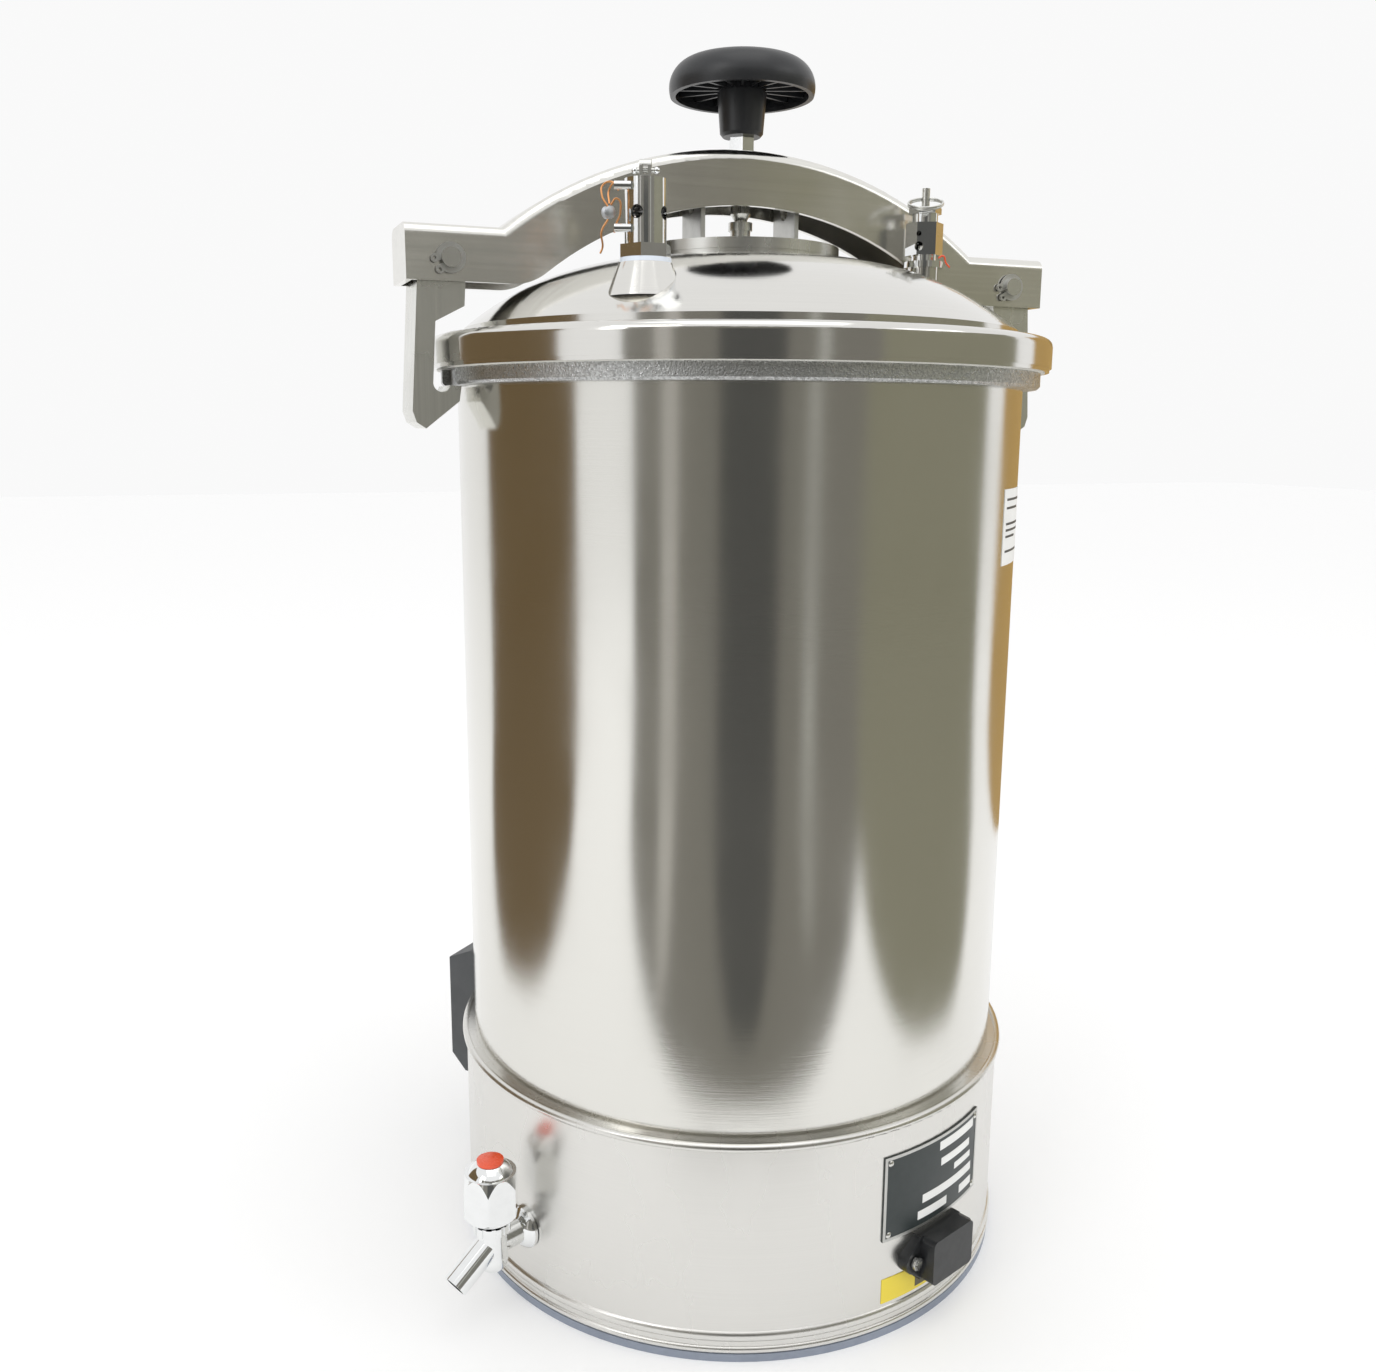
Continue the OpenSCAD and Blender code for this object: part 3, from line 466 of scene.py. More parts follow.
@dataclass(frozen=True)
class Cast:
    """A rough metal with pits and bright specks."""

    name: str
    colour: Colour
    rough: float = 0.4
    size: float = 1100.0
    bump: float = 0.5

    def make(self, effects: Effects) -> bpy.types.Material:
        """Builds the material.

        Args:
            effects: the shared node groups.

        Returns:
            The material.
        """
        material, b, shader = blank(self.name)
        space = b.coords()
        group = b.add("ShaderNodeGroup", node_tree=effects.pits)
        b.feed(group.inputs["Vector"], space)
        group.inputs["Size"].default_value = self.size
        dark = tuple(c * 0.62 for c in self.colour)
        b.feed(shader.inputs["Base Color"], b.mix(group.outputs["Sparkle"], dark, self.colour))
        shader.inputs["Metallic"].default_value = 1.0
        gloss = b.remap(group.outputs["Sparkle"], 0, 1, self.rough + 0.15, self.rough - 0.1)
        b.feed(shader.inputs["Roughness"], gloss)
        bump = b.add("ShaderNodeBump")
        bump.inputs["Strength"].default_value = self.bump
        bump.inputs["Distance"].default_value = 0.0004
        b.feed(bump.inputs["Height"], group.outputs["Height"])
        b.feed(shader.inputs["Normal"], bump.outputs["Normal"])
        return material


@dataclass(frozen=True)
class Moulding:
    """A moulded plastic, rubber, film or enamel."""

    name: str
    colour: Colour
    rough: float = 0.4
    texture: float = 900.0
    bump: float = 0.1
    vary: float = 0.06
    wear: float = 0.2
    coat: float = 0.0

    def make(self, effects: Effects) -> bpy.types.Material:
        """Builds the material.

        Args:
            effects: the shared node groups.

        Returns:
            The material.
        """
        material, b, shader = blank(self.name)
        space = b.coords()
        cloud = b.add("ShaderNodeGroup", node_tree=effects.cloud)
        b.feed(cloud.inputs["Vector"], space)
        cloud.inputs["Size"].default_value = self.texture / 40.0
        worn = b.add("ShaderNodeGroup", node_tree=effects.wear)
        b.feed(worn.inputs["Vector"], space)
        worn.inputs["Amount"].default_value = self.wear
        low = tuple(c * (1 - self.vary) for c in self.colour)
        high = tuple(min(1.0, c * (1 + self.vary)) for c in self.colour)
        light = tuple(min(1.0, c * 1.3 + 0.03) for c in self.colour)
        base = b.mix(b.remap(cloud.outputs["Fac"], 0.35, 0.65, 0, 1), low, high)
        b.feed(shader.inputs["Base Color"], b.mix(worn.outputs["Mask"], base, light))
        gloss = b.remap(cloud.outputs["Fac"], 0.3, 0.7, self.rough - 0.04, self.rough + 0.06)
        dust = b.maths("MULTIPLY", worn.outputs["Dust"], 0.2)
        b.feed(shader.inputs["Roughness"], b.maths("ADD", gloss, dust))
        shader.inputs["Coat Weight"].default_value = self.coat
        bump = b.add("ShaderNodeBump")
        bump.inputs["Strength"].default_value = self.bump
        bump.inputs["Distance"].default_value = 0.0003
        b.feed(bump.inputs["Height"], cloud.outputs["Fine"])
        b.feed(shader.inputs["Normal"], bump.outputs["Normal"])
        return material


def blank(name: str) -> Tuple[bpy.types.Material, NodeBench, bpy.types.Node]:
    """Makes an empty material with a Principled shader.

    Args:
        name: the material's name.

    Returns:
        The material, a bench for its nodes, and the shader.
    """
    material = bpy.data.materials.new(name)
    material.use_nodes = True
    tree = material.node_tree
    tree.nodes.clear()
    b = NodeBench(tree)
    shader = b.add("ShaderNodeBsdfPrincipled")
    out = b.add("ShaderNodeOutputMaterial")
    tree.links.new(shader.outputs["BSDF"], out.inputs["Surface"])
    return material, b, shader


FINISHES: Tuple[Any, ...] = (
    Metal("vessel_polish", (0.74, 0.73, 0.69), 0.11, 0.08, Grain.ROUND, 1400.0, 0.05, 0.05, 0.10),
    Metal("base_satin", (0.74, 0.73, 0.70), 0.24, 0.06, Grain.ROUND, 1100.0, 0.04, 0.04, 0.03),
    Metal("lid_polish", (0.76, 0.75, 0.72), 0.09, 0.06, Grain.ROUND, 1200.0, 0.04, 0.04, 0.05),
    Metal("beam_polish", (0.79, 0.78, 0.74), 0.14, 0.12, Grain.ALONG, 700.0, 0.06, 0.05, 0.04),
    Metal("hook_polish", (0.76, 0.76, 0.72), 0.2, 0.12, Grain.UPRIGHT, 700.0, 0.06, 0.06, 0.03),
    Metal("chrome_plate", (0.86, 0.87, 0.87), 0.05, 0.04, Grain.NONE, 200.0, 0.01, 0.02),
    Metal("turned_steel", (0.72, 0.72, 0.69), 0.22, 0.1, Grain.ROUND, 2500.0, 0.08, 0.06),
    Metal("dull_steel", (0.60, 0.60, 0.58), 0.34, 0.12, Grain.NONE, 400.0, 0.05, 0.06),
    Metal("spring_black", (0.22, 0.22, 0.22), 0.35, 0.1, Grain.NONE, 400.0, 0.05, 0.06),
    Metal("heater_sheath", (0.34, 0.33, 0.32), 0.45, 0.1, Grain.NONE, 300.0, 0.1, 0.12),
    Metal("yellow_brass", (0.70, 0.55, 0.25), 0.28, 0.1, Grain.NONE, 400.0, 0.05, 0.06),
    Metal("red_copper", (0.85, 0.42, 0.18), 0.25, 0.1, Grain.NONE, 400.0, 0.05, 0.08),
    Metal("soft_lead", (0.62, 0.65, 0.68), 0.45, 0.1, Grain.NONE, 300.0, 0.2, 0.08),
    Cast("cast_flange", (0.66, 0.67, 0.67), 0.36, 1300.0, 0.4),
    Moulding("knob_black", (0.018, 0.019, 0.021), 0.34, 1400.0, 0.12, 0.1, 0.15),
    Moulding("inlet_black", (0.012, 0.013, 0.014), 0.34, 2600.0, 0.14, 0.1, 0.2),
    Moulding("panel_grey", (0.070, 0.074, 0.078), 0.5, 2600.0, 0.35, 0.08, 0.2),
    Moulding("foot_grey", (0.24, 0.27, 0.33), 0.45, 1200.0, 0.1, 0.06, 0.15),
    Moulding("window_smoke", (0.01, 0.012, 0.014), 0.1, 400.0, 0.0, 0.05, 0.0, 0.4),
    Moulding("board_green", (0.03, 0.14, 0.06), 0.4, 900.0, 0.1),
    Moulding("key_pale", (0.62, 0.64, 0.65), 0.4, 1600.0, 0.1),
    Moulding("key_green", (0.04, 0.32, 0.12), 0.35, 1600.0, 0.1),
    Moulding("index_orange", (0.78, 0.08, 0.02), 0.22, 400.0, 0.02, 0.1, 0.0, 0.5),
    Moulding("silicone", (0.78, 0.77, 0.72), 0.45, 500.0, 0.05, 0.04, 0.0),
    Moulding("rubber_black", (0.02, 0.02, 0.022), 0.6, 1400.0, 0.15, 0.1, 0.0),
    Moulding("sleeve_red", (0.30, 0.05, 0.03), 0.55, 1400.0, 0.15, 0.1, 0.0),
    Moulding("ceramic", (0.80, 0.78, 0.70), 0.35, 700.0, 0.05, 0.05, 0.0),
    Moulding("washer_white", (0.78, 0.84, 0.92), 0.35, 900.0, 0.05, 0.04, 0.0),
    Moulding("label_paper", (0.82, 0.82, 0.80), 0.6, 1800.0, 0.15, 0.03, 0.0),
    Moulding("strip_yellow", (0.78, 0.62, 0.05), 0.4, 900.0, 0.04, 0.03, 0.0),
    Moulding("strip_dark", (0.09, 0.08, 0.04), 0.4, 900.0, 0.04, 0.03, 0.0),
    Moulding("plate_enamel", (0.022, 0.030, 0.030), 0.35, 1800.0, 0.08, 0.08, 0.1),
)

NODE_FINISH: Dict[str, str] = {
    "vessel_shell": "vessel_polish", "flange_ring": "cast_flange", "base_housing": "base_satin",
    "foot_ring": "foot_grey", "bottom_plate": "dull_steel", "support_posts": "dull_steel",
    "bottom_screws": "turned_steel", "heater_element": "heater_sheath",
    "heater_glands": "yellow_brass",
    "dry_boil_cutout": "ceramic", "heater_wiring": "sleeve_red", "drain_pipe": "yellow_brass",
    "rack": "dull_steel", "basket": "base_satin", "basket_handle": "turned_steel",
    "tap_body": "chrome_plate", "tap_escutcheon": "chrome_plate", "tap_bonnet": "chrome_plate",
    "tap_jumper": "rubber_black", "tap_handle": "chrome_plate", "tap_index": "index_orange",
    "mains_inlet": "inlet_black", "inlet_pins": "yellow_brass", "inlet_screws": "turned_steel",
    "rating_plate": "plate_enamel", "plate_rivets": "turned_steel", "caution_strip": "strip_yellow",
    "side_label": "label_paper", "control_box": "panel_grey", "display_window": "window_smoke",
    "circuit_board": "board_green", "key_set": "key_pale", "key_up": "key_pale",
    "key_down": "key_pale",
    "key_start": "key_green", "power_rocker": "inlet_black", "lid_shell": "lid_polish",
    "lid_gasket": "silicone", "clamp_plate": "turned_steel", "plate_pad": "turned_steel",
    "beam_guides": "dull_steel", "screw_foot": "turned_steel", "valve_bosses": "lid_polish",
    "beam": "beam_polish", "beam_nut": "dull_steel", "hook_pins": "turned_steel",
    "pin_clips": "dull_steel", "clamp_screw": "turned_steel", "screw_collar": "chrome_plate",
    "hand_knob": "knob_black", "left_hook": "hook_polish", "right_hook": "hook_polish",
    "safety_body": "chrome_plate", "safety_washer": "washer_white", "safety_stem": "turned_steel",
    "safety_spring": "spring_black", "safety_seal": "red_copper", "vent_body": "chrome_plate",
    "vent_stem": "turned_steel", "vent_ring": "turned_steel",
}


# ---- Mesh helpers ----

FACETS = 24  # round a turned piece
TURNED_SMOOTH = 50.0  # degrees, for turned pieces
PATCH_SMOOTH = 30.0  # degrees, for patches wrapped round the pot
PATCH_STEP = 1.5  # degrees of sweep to each facet of a patch


class Wardrobe:
    """Holds the finished materials and puts them on objects."""

    def __init__(self) -> None:
        """Builds the effects and every finish."""
        self.effects = Effects()
        self.materials = {finish.name: finish.make(self.effects) for finish in FINISHES}

    def dress(self, obj: bpy.types.Object, *names: str) -> bpy.types.Object:
        """Gives an object its materials.

        Args:
            obj: the object.
            names: finish names, one for each slot.

        Returns:
            The object.
        """
        obj.data.materials.clear()
        for name in names:
            obj.data.materials.append(self.materials[name])
        return obj


def put(name: str, mesh: bmesh.types.BMesh, smooth: float = 40.0) -> bpy.types.Object:
    """Turns a bmesh into an object in the scene.

    Args:
        name: the object's name.
        mesh: the mesh, freed afterwards.
        smooth: edges flatter than this many degrees are shaded smooth.

    Returns:
        The object.
    """
    data = bpy.data.meshes.new(name)
    bmesh.ops.recalc_face_normals(mesh, faces=mesh.faces)
    mesh.to_mesh(data)
    mesh.free()
    obj = bpy.data.objects.new(name, data)
    bpy.context.scene.collection.objects.link(obj)
    for face in data.polygons:
        face.use_smooth = True
    data.set_sharp_from_angle(angle=math.radians(smooth))
    return obj


def tube(name: str, points: Sequence[Point], radius: float) -> bpy.types.Object:
    """Makes a round wire along a smooth path.

    Args:
        name: the object's name.
        points: the path in millimetres.
        radius: wire radius in millimetres.

    Returns:
        The object.
    """
    curve = bpy.data.curves.new(name, "CURVE")
    curve.dimensions = "3D"
    curve.bevel_depth = radius * MM
    curve.bevel_resolution = 4
    curve.resolution_u = 8
    curve.use_fill_caps = True
    line = curve.splines.new("BEZIER")
    line.bezier_points.add(len(points) - 1)
    for knot, point in zip(line.bezier_points, points):
        knot.co = Vector(point) * MM
        knot.handle_left_type = knot.handle_right_type = "AUTO"
    obj = bpy.data.objects.new(name, curve)
    bpy.context.scene.collection.objects.link(obj)
    return obj


def lathe(name: str, profile: Sequence[Tuple[float, float]]) -> bpy.types.Object:
    """Turns a closed profile round the z axis.

    Args:
        name: the object's name.
        profile: radius and height of each point in millimetres, from axis to axis.

    Returns:
        The object.
    """
    mesh = bmesh.new()
    rings = []
    turn = [2 * math.pi * k / FACETS for k in range(FACETS)]
    for r, z in profile:
        if r == 0:
            rings.append([mesh.verts.new((0, 0, z * MM))] * FACETS)
            continue
        spots = [(r * math.cos(a) * MM, r * math.sin(a) * MM, z * MM) for a in turn]
        rings.append([mesh.verts.new(spot) for spot in spots])
    for low, high in zip(rings, rings[1:]):
        for k in range(FACETS):
            corners = [low[k], low[(k + 1) % FACETS], high[(k + 1) % FACETS], high[k]]
            loop = list(dict.fromkeys(corners))
            if len(loop) > 2:
                mesh.faces.new(loop)
    return put(name, mesh, TURNED_SMOOTH)


def moved(obj: bpy.types.Object, place: Matrix) -> bpy.types.Object:
    """Puts a piece in its place.

    Args:
        obj: the object, made round the origin.
        place: where it goes.

    Returns:
        The object.
    """
    obj.matrix_world = place
    return obj


def middle(node: str) -> Vector:
    """Finds the middle of a CAD node in millimetres.

    Args:
        node: the node's name.

    Returns:
        The middle of its box.
    """
    low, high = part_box(node)
    return (Vector(low) + Vector(high)) / (2 * MM)


def wrapped(
    name: str, radius: float, az: Tuple[float, float], z: Tuple[float, float], lift: float
) -> bpy.types.Object:
    """Makes a thin closed patch that hugs an upright cylinder.

    Args:
        name: the object's name.
        radius: cylinder radius in millimetres.
        az: start and end angle in degrees.
        z: lower and upper edge in millimetres.
        lift: thickness in millimetres.

    Returns:
        The object.
    """
    mesh = bmesh.new()
    steps = max(2, int(abs(az[1] - az[0]) / PATCH_STEP))
    rows = []
    corners = ((radius, z[0]), (radius + lift, z[0]), (radius + lift, z[1]), (radius, z[1]))
    for i in range(steps + 1):
        a = math.radians(az[0] + (az[1] - az[0]) * i / steps)
        spots = [(r * math.cos(a) * MM, r * math.sin(a) * MM, h * MM) for r, h in corners]
        rows.append([mesh.verts.new(spot) for spot in spots])
    for one, two in zip(rows, rows[1:]):
        for k in range(4):
            mesh.faces.new((one[k], one[(k + 1) % 4], two[(k + 1) % 4], two[k]))
    mesh.faces.new(rows[0])
    mesh.faces.new(rows[-1][::-1])
    return put(name, mesh, PATCH_SMOOTH)


# ---- Sub-assemblies ----

# Turned profiles in millimetres: the pinched seal pellet and the round end of the pull pin
PELLET = (
    (0, -2.2), (2.0, -2.2), (2.6, -1.6), (2.4, -0.5), (2.1, 0), (2.4, 0.5), (2.6, 1.6),
    (2.0, 2.2), (0, 2.2),
)
BALL = (
    (0, -1.5), (0.8, -1.3), (1.35, -0.6), (1.45, 0.1), (1.2, 0.8), (0.9, 1.2), (0.9, 1.9),
    (0, 1.9),
)


@dataclass
class CarriedNodes:
    """The CAD nodes that stay as they are and get a detailed finish."""

    finishes: Dict[str, str] = field(default_factory=lambda: dict(NODE_FINISH))

    def dress(self, frame: Dict[str, Any], wardrobe: Wardrobe) -> None:
        """Puts each finish on its node.

        Args:
            wardrobe: the materials.
        """
        for name, node in frame["nodes"].items():
            wardrobe.dress(node, self.finishes[name])


@dataclass
class RatingPlate:
    """Raised border and blank fields of the plate over the mains inlet."""

    radius: float = 147.4
    az: float = -69.3
    sweep: float = 28.5
    low: float = 51.0
    high: float = 95.0
    border: float = 1.5
    border_lift: float = 0.15
    field_lift: float = 0.12

    def build(self, wardrobe: Wardrobe) -> None:
        """Makes the border strips and the blank fields.

        Args:
            wardrobe: the materials.
        """
        a0, a1 = self.az - self.sweep / 2, self.az + self.sweep / 2
        edge = math.degrees(self.border / self.radius)
        strips = (
            ((a0, a0 + edge), (self.low, self.high)),
            ((a1 - edge, a1), (self.low, self.high)),
            ((a0 + edge, a1 - edge), (self.low, self.low + self.border)),
            ((a0 + edge, a1 - edge), (self.high - self.border, self.high)),
        )
        for i, (az, z) in enumerate(strips):
            piece = wrapped(f"plate_border_{i}", self.radius, az, z, self.border_lift)
            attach(wardrobe.dress(piece, "dull_steel"), "pot")
        rows = ((0.50, 0.93, 36.0, 40.6), (0.52, 0.88, 27.4, 31.4), (0.68, 0.90, 20.6, 24.0),
                (0.34, 0.92, 12.6, 17.0), (0.30, 0.60, 4.6, 9.0), (0.76, 0.93, 4.6, 9.0))
        for i, (u0, u1, z0, z1) in enumerate(rows):
            az = (a0 + self.sweep * u0, a0 + self.sweep * u1)
            z = (self.low + z0, self.low + z1)
            piece = wrapped(f"plate_field_{i}", self.radius, az, z, self.field_lift)
            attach(wardrobe.dress(piece, "label_paper"), "pot")


@dataclass
class SafetyTrim:
    """Copper wires and lead pellet that seal the safety valve, and its pull pin's ball ends."""

    wire: float = 0.42
    pellet_spot: Point = (15.6, 4.4, 20.0)
    pin_reach: float = 4.6
    pin_turn: float = -23.8
    pin_up: float = 37.5

    def spot(self, out: float, near: float, up: float) -> Point:
        """Places a point beside the valve.

        Args:
            out: distance out along the seal lugs.
            near: distance toward the front.
            up: height over the seat.

        Returns:
            The point in millimetres.
        """
        low = Vector(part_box("safety_washer")[0]) / MM
        base = middle("safety_washer")
        return (
            base.x - SIDEWAYS[0] * out + FRONTWARD[0] * near,
            base.y - SIDEWAYS[1] * out + FRONTWARD[1] * near,
            low.z + up,
        )

    def build(self, wardrobe: Wardrobe) -> None:
        """Makes the wires, the pellet and the balls.

        Args:
            wardrobe: the materials.
        """
        runs = (
            ((9.6, 1.0, 31.0), (12.5, 4.2, 32.2), (15.4, 3.0, 29.0), (15.2, 4.6, 23.5)),
            ((15.6, 4.4, 22.0), (18.4, 3.4, 27.0), (17.8, 2.4, 31.4), (13.6, 2.4, 32.3),
             (11.4, 3.4, 29.0)),
            ((14.6, 4.4, 23.0), (12.0, 4.6, 25.5), (10.6, 4.4, 20.0), (12.6, 4.0, 15.0),
             (13.2, 2.6, 12.2)),
            ((15.8, 4.4, 17.2), (18.6, 5.0, 12.0), (18.2, 4.6, 6.0), (19.2, 4.8, 3.4)),
        )
        wires = []
        for i, run in enumerate(runs):
            wires.append(tube(f"seal_wire_{i}", [self.spot(*p) for p in run], self.wire))
        for wire in wires:
            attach(wardrobe.dress(wire, "red_copper"), "lid")
        pellet = lathe("seal_pellet", PELLET)
        turn = Matrix.Rotation(math.radians(90), 4, "X") @ Matrix.Rotation(math.radians(20), 4, "Y")
        moved(pellet, Matrix.Translation(Vector(self.spot(*self.pellet_spot)) * MM) @ turn)
        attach(wardrobe.dress(pellet, "soft_lead"), "lid")
        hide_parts("safety_seal")
        for side in (-1, 1):
            label = "left" if side < 0 else "right"
            ball = lathe(f"pull_pin_end_{label}", BALL)
            a = math.radians(self.pin_turn)
            out = Vector((side * math.cos(a), side * math.sin(a), 0))
            base = middle("safety_washer")
            base.z = Vector(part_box("safety_washer")[0]).z / MM + self.pin_up
            at = base + out * self.pin_reach
            face = (-out).to_track_quat("Z", "Y").to_matrix().to_4x4()
            moved(ball, Matrix.Translation(at * MM) @ face)
            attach(wardrobe.dress(ball, "chrome_plate"), "safety_stem")


@dataclass
class VentTrim:
    """Double-coil split ring of the vent valve and a bit of orange binding wire."""

    turn: float = -121.0
    tip: float = 24.0
    major: float = 8.5
    wire: float = 0.52
    ring_up: float = 33.5
    coils: float = 2.04
    start: float = 0.27
    crossing: Tuple[float, float] = (0.42, 0.16)
    steps: int = 64
    bind: float = 0.45

    def build(self, wardrobe: Wardrobe) -> None:
        """Makes the split ring and the wire.

        Args:
            wardrobe: the materials.
        """
        base = middle("vent_stem")
        seat = Vector(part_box("vent_body")[0]).z / MM + SHANK
        points = []
        cross_at, cross_for = self.crossing
        for i in range(self.steps + 1):
            a = 2 * math.pi * (self.coils * i / self.steps + self.start)
            lift = -0.5 + min(1.0, max(0.0, (i / self.steps - cross_at) / cross_for))
            points.append((self.major * math.cos(a) + self.major, self.major * math.sin(a), lift))
        place = (
            Matrix.Translation(Vector((base.x, base.y, seat + self.ring_up)))
            @ Matrix.Rotation(math.radians(self.turn), 4, "Z")
            @ Matrix.Rotation(math.radians(self.tip), 4, "Y")
        )
        ring = tube("split_ring", [tuple(place @ Vector(p)) for p in points], self.wire)
        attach(wardrobe.dress(ring, "turned_steel"), "vent_ring")
        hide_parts("vent_ring")
        right, near = Vector(SIDEWAYS), Vector(FRONTWARD)
        spots = ((6.0, 7.4, 4.4), (8.6, 6.6, 5.4), (10.2, 5.4, 2.4), (12.4, 4.6, 0.2))
        foot = Vector((base.x, base.y, seat))
        path = [tuple(foot + Vector((0, 0, z)) + right * r + near * n) for r, n, z in spots]
        bit = tube("binding_wire", path, self.bind)
        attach(wardrobe.dress(bit, "index_orange"), "lid")


@dataclass
class Prints:
    """Plain printed fields on the yellow strip and the side label, with no lettering."""

    strip_radius: float = 146.9
    strip_az: Tuple[float, float] = (-83.2, -59.8)
    strip_low: float = 17.6
    strip_lift: float = 0.12
    label_radius: float = 142.2
    label_az: float = -43.8
    label_low: float = 368.0
    label_lift: float = 0.1
    bar_height: float = 1.1
    bar_reach: float = 6.4

    def build(self, wardrobe: Wardrobe) -> None:
        """Makes the fields.

        Args:
            wardrobe: the materials.
        """
        start, end = self.strip_az
        width = end - start
        az = (start + width * 0.36, start + width * 0.60)
        z = (self.strip_low + 1.6, self.strip_low + 8.4)
        block = wrapped("strip_block", self.strip_radius, az, z, self.strip_lift)
        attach(wardrobe.dress(block, "strip_dark"), "pot")
        bars = ((6.2, 30.5), (5.0, 26.5), (6.2, 19.0), (6.2, 16.0), (4.0, 13.0), (6.2, 6.0))
        for i, (reach, up) in enumerate(bars):
            az = (self.label_az - self.bar_reach, self.label_az - self.bar_reach + 2 * reach)
            z = (self.label_low + up, self.label_low + up + self.bar_height)
            bar = wrapped(f"label_bar_{i}", self.label_radius, az, z, self.label_lift)
            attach(wardrobe.dress(bar, "panel_grey"), "pot")


@dataclass
class Softened:
    """Rounds the sawn edges of plain plate parts, which catch the light."""

    widths: Tuple[Tuple[str, float], ...] = (
        ("left_hook", 0.9), ("right_hook", 0.9), ("beam_guides", 0.5), ("control_box", 0.8),
    )
    merge: float = 0.01
    sharp: float = 35.0

    def build(self, frame: Dict[str, Any]) -> None:
        """Adds the modifiers.
        """
        for name, width in self.widths:
            node = frame["nodes"][name]
            weld = node.modifiers.new("join", "WELD")
            weld.merge_threshold = self.merge * MM
            bevel = node.modifiers.new("round_edges", "BEVEL")
            bevel.width = width * MM
            bevel.segments = 3
            bevel.limit_method = "ANGLE"
            bevel.angle_limit = math.radians(self.sharp)
            bevel.harden_normals = True


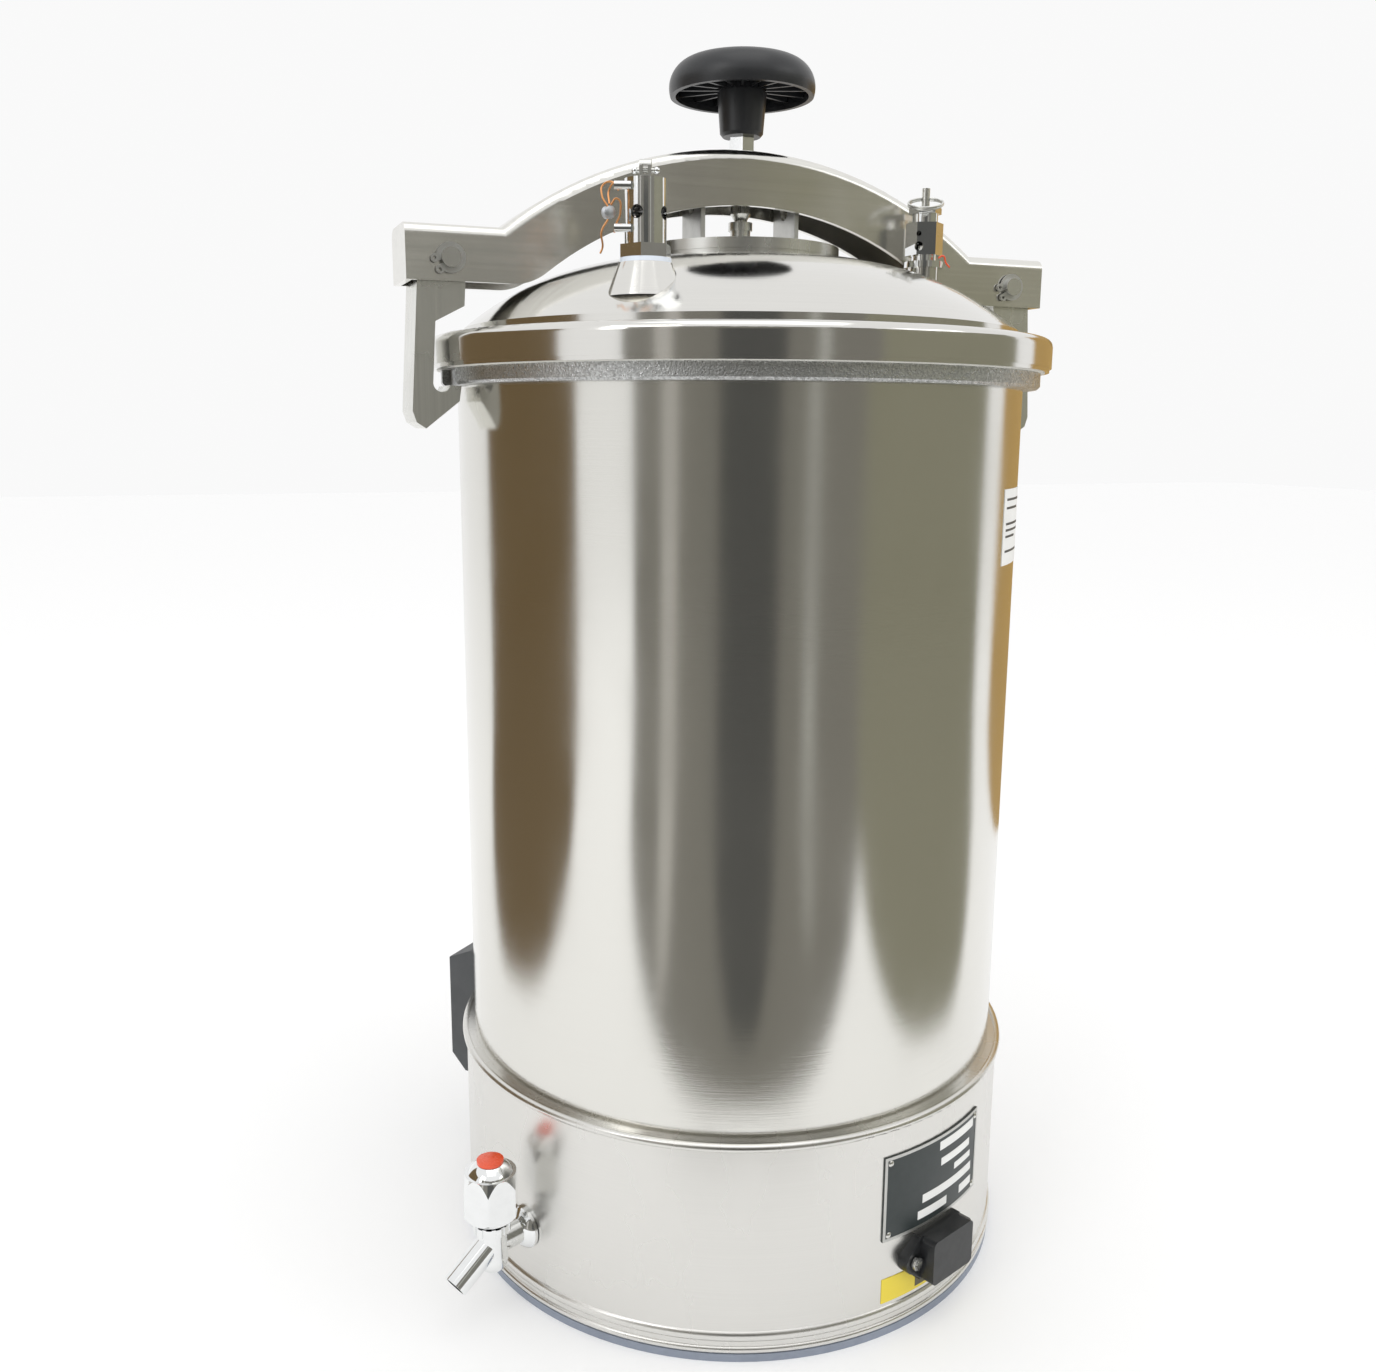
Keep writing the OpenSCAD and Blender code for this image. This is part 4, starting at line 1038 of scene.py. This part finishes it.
@dataclass
class Studio:
    """Floor, lights, reflecting bands and the camera."""

    eye: Point = (-276.0, -626.0, 432.0)
    heading: float = 68.28
    pitch: float = -11.32
    roll: float = 0.369
    lens: float = 33.93
    bands: Tuple[Tuple[str, Tuple[float, float], float, float, Colour], ...] = (
        ("band_brown", (133.0, 184.0), 0.47, 1.2, (0.09, 0.060, 0.026)),
        ("band_grey", (-152.0, -66.0), 0.36, 1.3, (0.12, 0.115, 0.10)),
        ("band_olive", (-66.0, -4.0), 0.40, 1.15, (0.15, 0.145, 0.105)),
        ("band_gold", (10.0, 62.0), 0.75, 1.0, (0.28, 0.18, 0.06)),
        ("band_core", (-120.0, -98.0), 0.44, 0.8, (0.045, 0.045, 0.042)),
        ("band_streak_left", (-141.0, -135.0), 0.5, 1.2, (0.30, 0.29, 0.27)),
        ("band_streak_right", (-88.0, -84.0), 0.6, 1.2, (0.26, 0.26, 0.24)),
    )
    band_glow: float = 0.6
    lamps: Tuple[Tuple[str, float, float, float, Tuple[float, float], float], ...] = (
        ("key_lamp", -150.0, 2.2, 1.6, (1.0, 1.4), 7.0),
        ("fill_lamp", -40.0, 2.4, 1.4, (1.2, 1.2), 4.0),
        ("top_lamp", -100.0, 0.6, 2.4, (1.6, 1.6), 6.0),
    )
    aim: Point = (0.0, 0.0, 0.3)
    floor_reach: float = 8.0
    floor_colour: Colour = (0.9, 0.9, 0.9)
    floor_glow: float = 0.12
    world: float = 0.95

    def camera(self) -> None:
        """Places the camera."""
        data = bpy.data.cameras.new("camera")
        data.lens = self.lens
        data.sensor_width = 36.0
        data.clip_start, data.clip_end = 0.01, 60.0
        obj = bpy.data.objects.new("camera", data)
        bpy.context.scene.collection.objects.link(obj)
        h, p = math.radians(self.heading), math.radians(self.pitch)
        ahead = Vector((math.cos(h) * math.cos(p), math.sin(h) * math.cos(p), math.sin(p)))
        turn = ahead.to_track_quat("-Z", "Y").to_matrix().to_4x4()
        turn = turn @ Matrix.Rotation(math.radians(self.roll), 4, "Z")
        obj.matrix_world = Matrix.Translation(Vector(self.eye) * MM) @ turn
        bpy.context.scene.camera = obj

    def plain(self, name: str, colour: Colour, glow: float) -> bpy.types.Material:
        """Makes a matt stage material.

        Args:
            name: the material's name.
            colour: its colour.
            glow: strength of its own light.

        Returns:
            The material.
        """
        material, _, shader = blank(name)
        shader.inputs["Base Color"].default_value = (*colour, 1.0)
        shader.inputs["Roughness"].default_value = 0.9
        shader.inputs["Emission Color"].default_value = (*colour, 1.0)
        shader.inputs["Emission Strength"].default_value = glow
        return material

    def band(
        self,
        name: str,
        az: Tuple[float, float],
        near: float,
        tall: float,
        step: int,
        look: bpy.types.Material,
    ) -> None:
        """Lays a rounded tongue that turns up into a wall, for the polished side to reflect.

        Args:
            name: the object's name.
            az: start and end direction from the pot in degrees.
            near: distance of the tongue's rounded end in metres.
            tall: height of the wall in metres.
            step: its place in the stack, later ones in front.
            look: its material.
        """
        mesh = bmesh.new()
        rows = []
        steps = 24
        up, far = 0.003 + 0.002 * step, 1.75 - 0.03 * step
        for i in range(steps + 1):
            share = i / steps
            a = math.radians(az[0] + (az[1] - az[0]) * share)
            side = abs(2 * share - 1)
            start = near + 0.5 * (1 - math.sqrt(max(0.0, 1 - side ** 3)))
            spots = ((start, up), (far - 0.25, up), (far - 0.05, 0.12), (far, tall))
            rows.append([mesh.verts.new((math.cos(a) * r, math.sin(a) * r, z)) for r, z in spots])
        for one, two in zip(rows, rows[1:]):
            for k in range(3):
                mesh.faces.new((one[k], one[k + 1], two[k + 1], two[k]))
        obj = put(name, mesh)
        obj.data.materials.append(look)
        obj.visible_camera = False
        obj.visible_shadow = False
        obj.visible_diffuse = False

    def floor(self) -> None:
        """Makes the pale floor."""
        mesh = bmesh.new()
        corners = ((-1, -1), (1, -1), (1, 1), (-1, 1))
        size = self.floor_reach
        mesh.faces.new([mesh.verts.new((x * size, y * size, 0)) for x, y in corners])
        obj = put("floor", mesh)
        obj.data.materials.append(self.plain("floor_white", self.floor_colour, self.floor_glow))

    def lamp(
        self, name: str, az: float, far: float, z: float, size: Tuple[float, float], power: float
    ) -> None:
        """Adds a soft lamp that looks at the pot.

        Args:
            name: the lamp's name.
            az: direction from the pot in degrees.
            far: distance in metres.
            z: height in metres.
            size: width and height in metres.
            power: watts.
        """
        data = bpy.data.lights.new(name, "AREA")
        data.shape = "RECTANGLE"
        data.size, data.size_y = size
        data.energy = power
        obj = bpy.data.objects.new(name, data)
        a = math.radians(az)
        obj.location = (math.cos(a) * far, math.sin(a) * far, z)
        obj.rotation_euler = (Vector(self.aim) - obj.location).to_track_quat("-Z", "Y").to_euler()
        bpy.context.scene.collection.objects.link(obj)

    def build(self) -> None:
        """Builds the whole studio."""
        world = bpy.data.worlds.new("studio")
        world.use_nodes = True
        back = world.node_tree.nodes["Background"]
        back.inputs["Color"].default_value = (1.0, 1.0, 1.0, 1.0)
        back.inputs["Strength"].default_value = self.world
        bpy.context.scene.world = world
        self.floor()
        for step, (name, az, near, tall, colour) in enumerate(self.bands):
            self.band(name, az, near, tall, step, self.plain(name, colour, self.band_glow))
        for lamp in self.lamps:
            self.lamp(*lamp)
        self.camera()
        scene = bpy.context.scene
        scene.view_settings.view_transform = "Standard"


def main() -> None:
    """Builds and dresses everything in order."""
    logging.basicConfig(level=logging.INFO, format="%(name)s: %(message)s")
    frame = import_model()
    wardrobe = Wardrobe()
    CarriedNodes().dress(frame, wardrobe)
    LOG.info("dressed %d carried nodes", len(frame["nodes"]))
    RatingPlate().build(wardrobe)
    SafetyTrim().build(wardrobe)
    VentTrim().build(wardrobe)
    Prints().build(wardrobe)
    Softened().build(frame)
    LOG.info("built the trim")
    Studio().build()
    LOG.info("built the studio")
    bpy.context.view_layer.update()


if __name__ == "__main__":
    main()
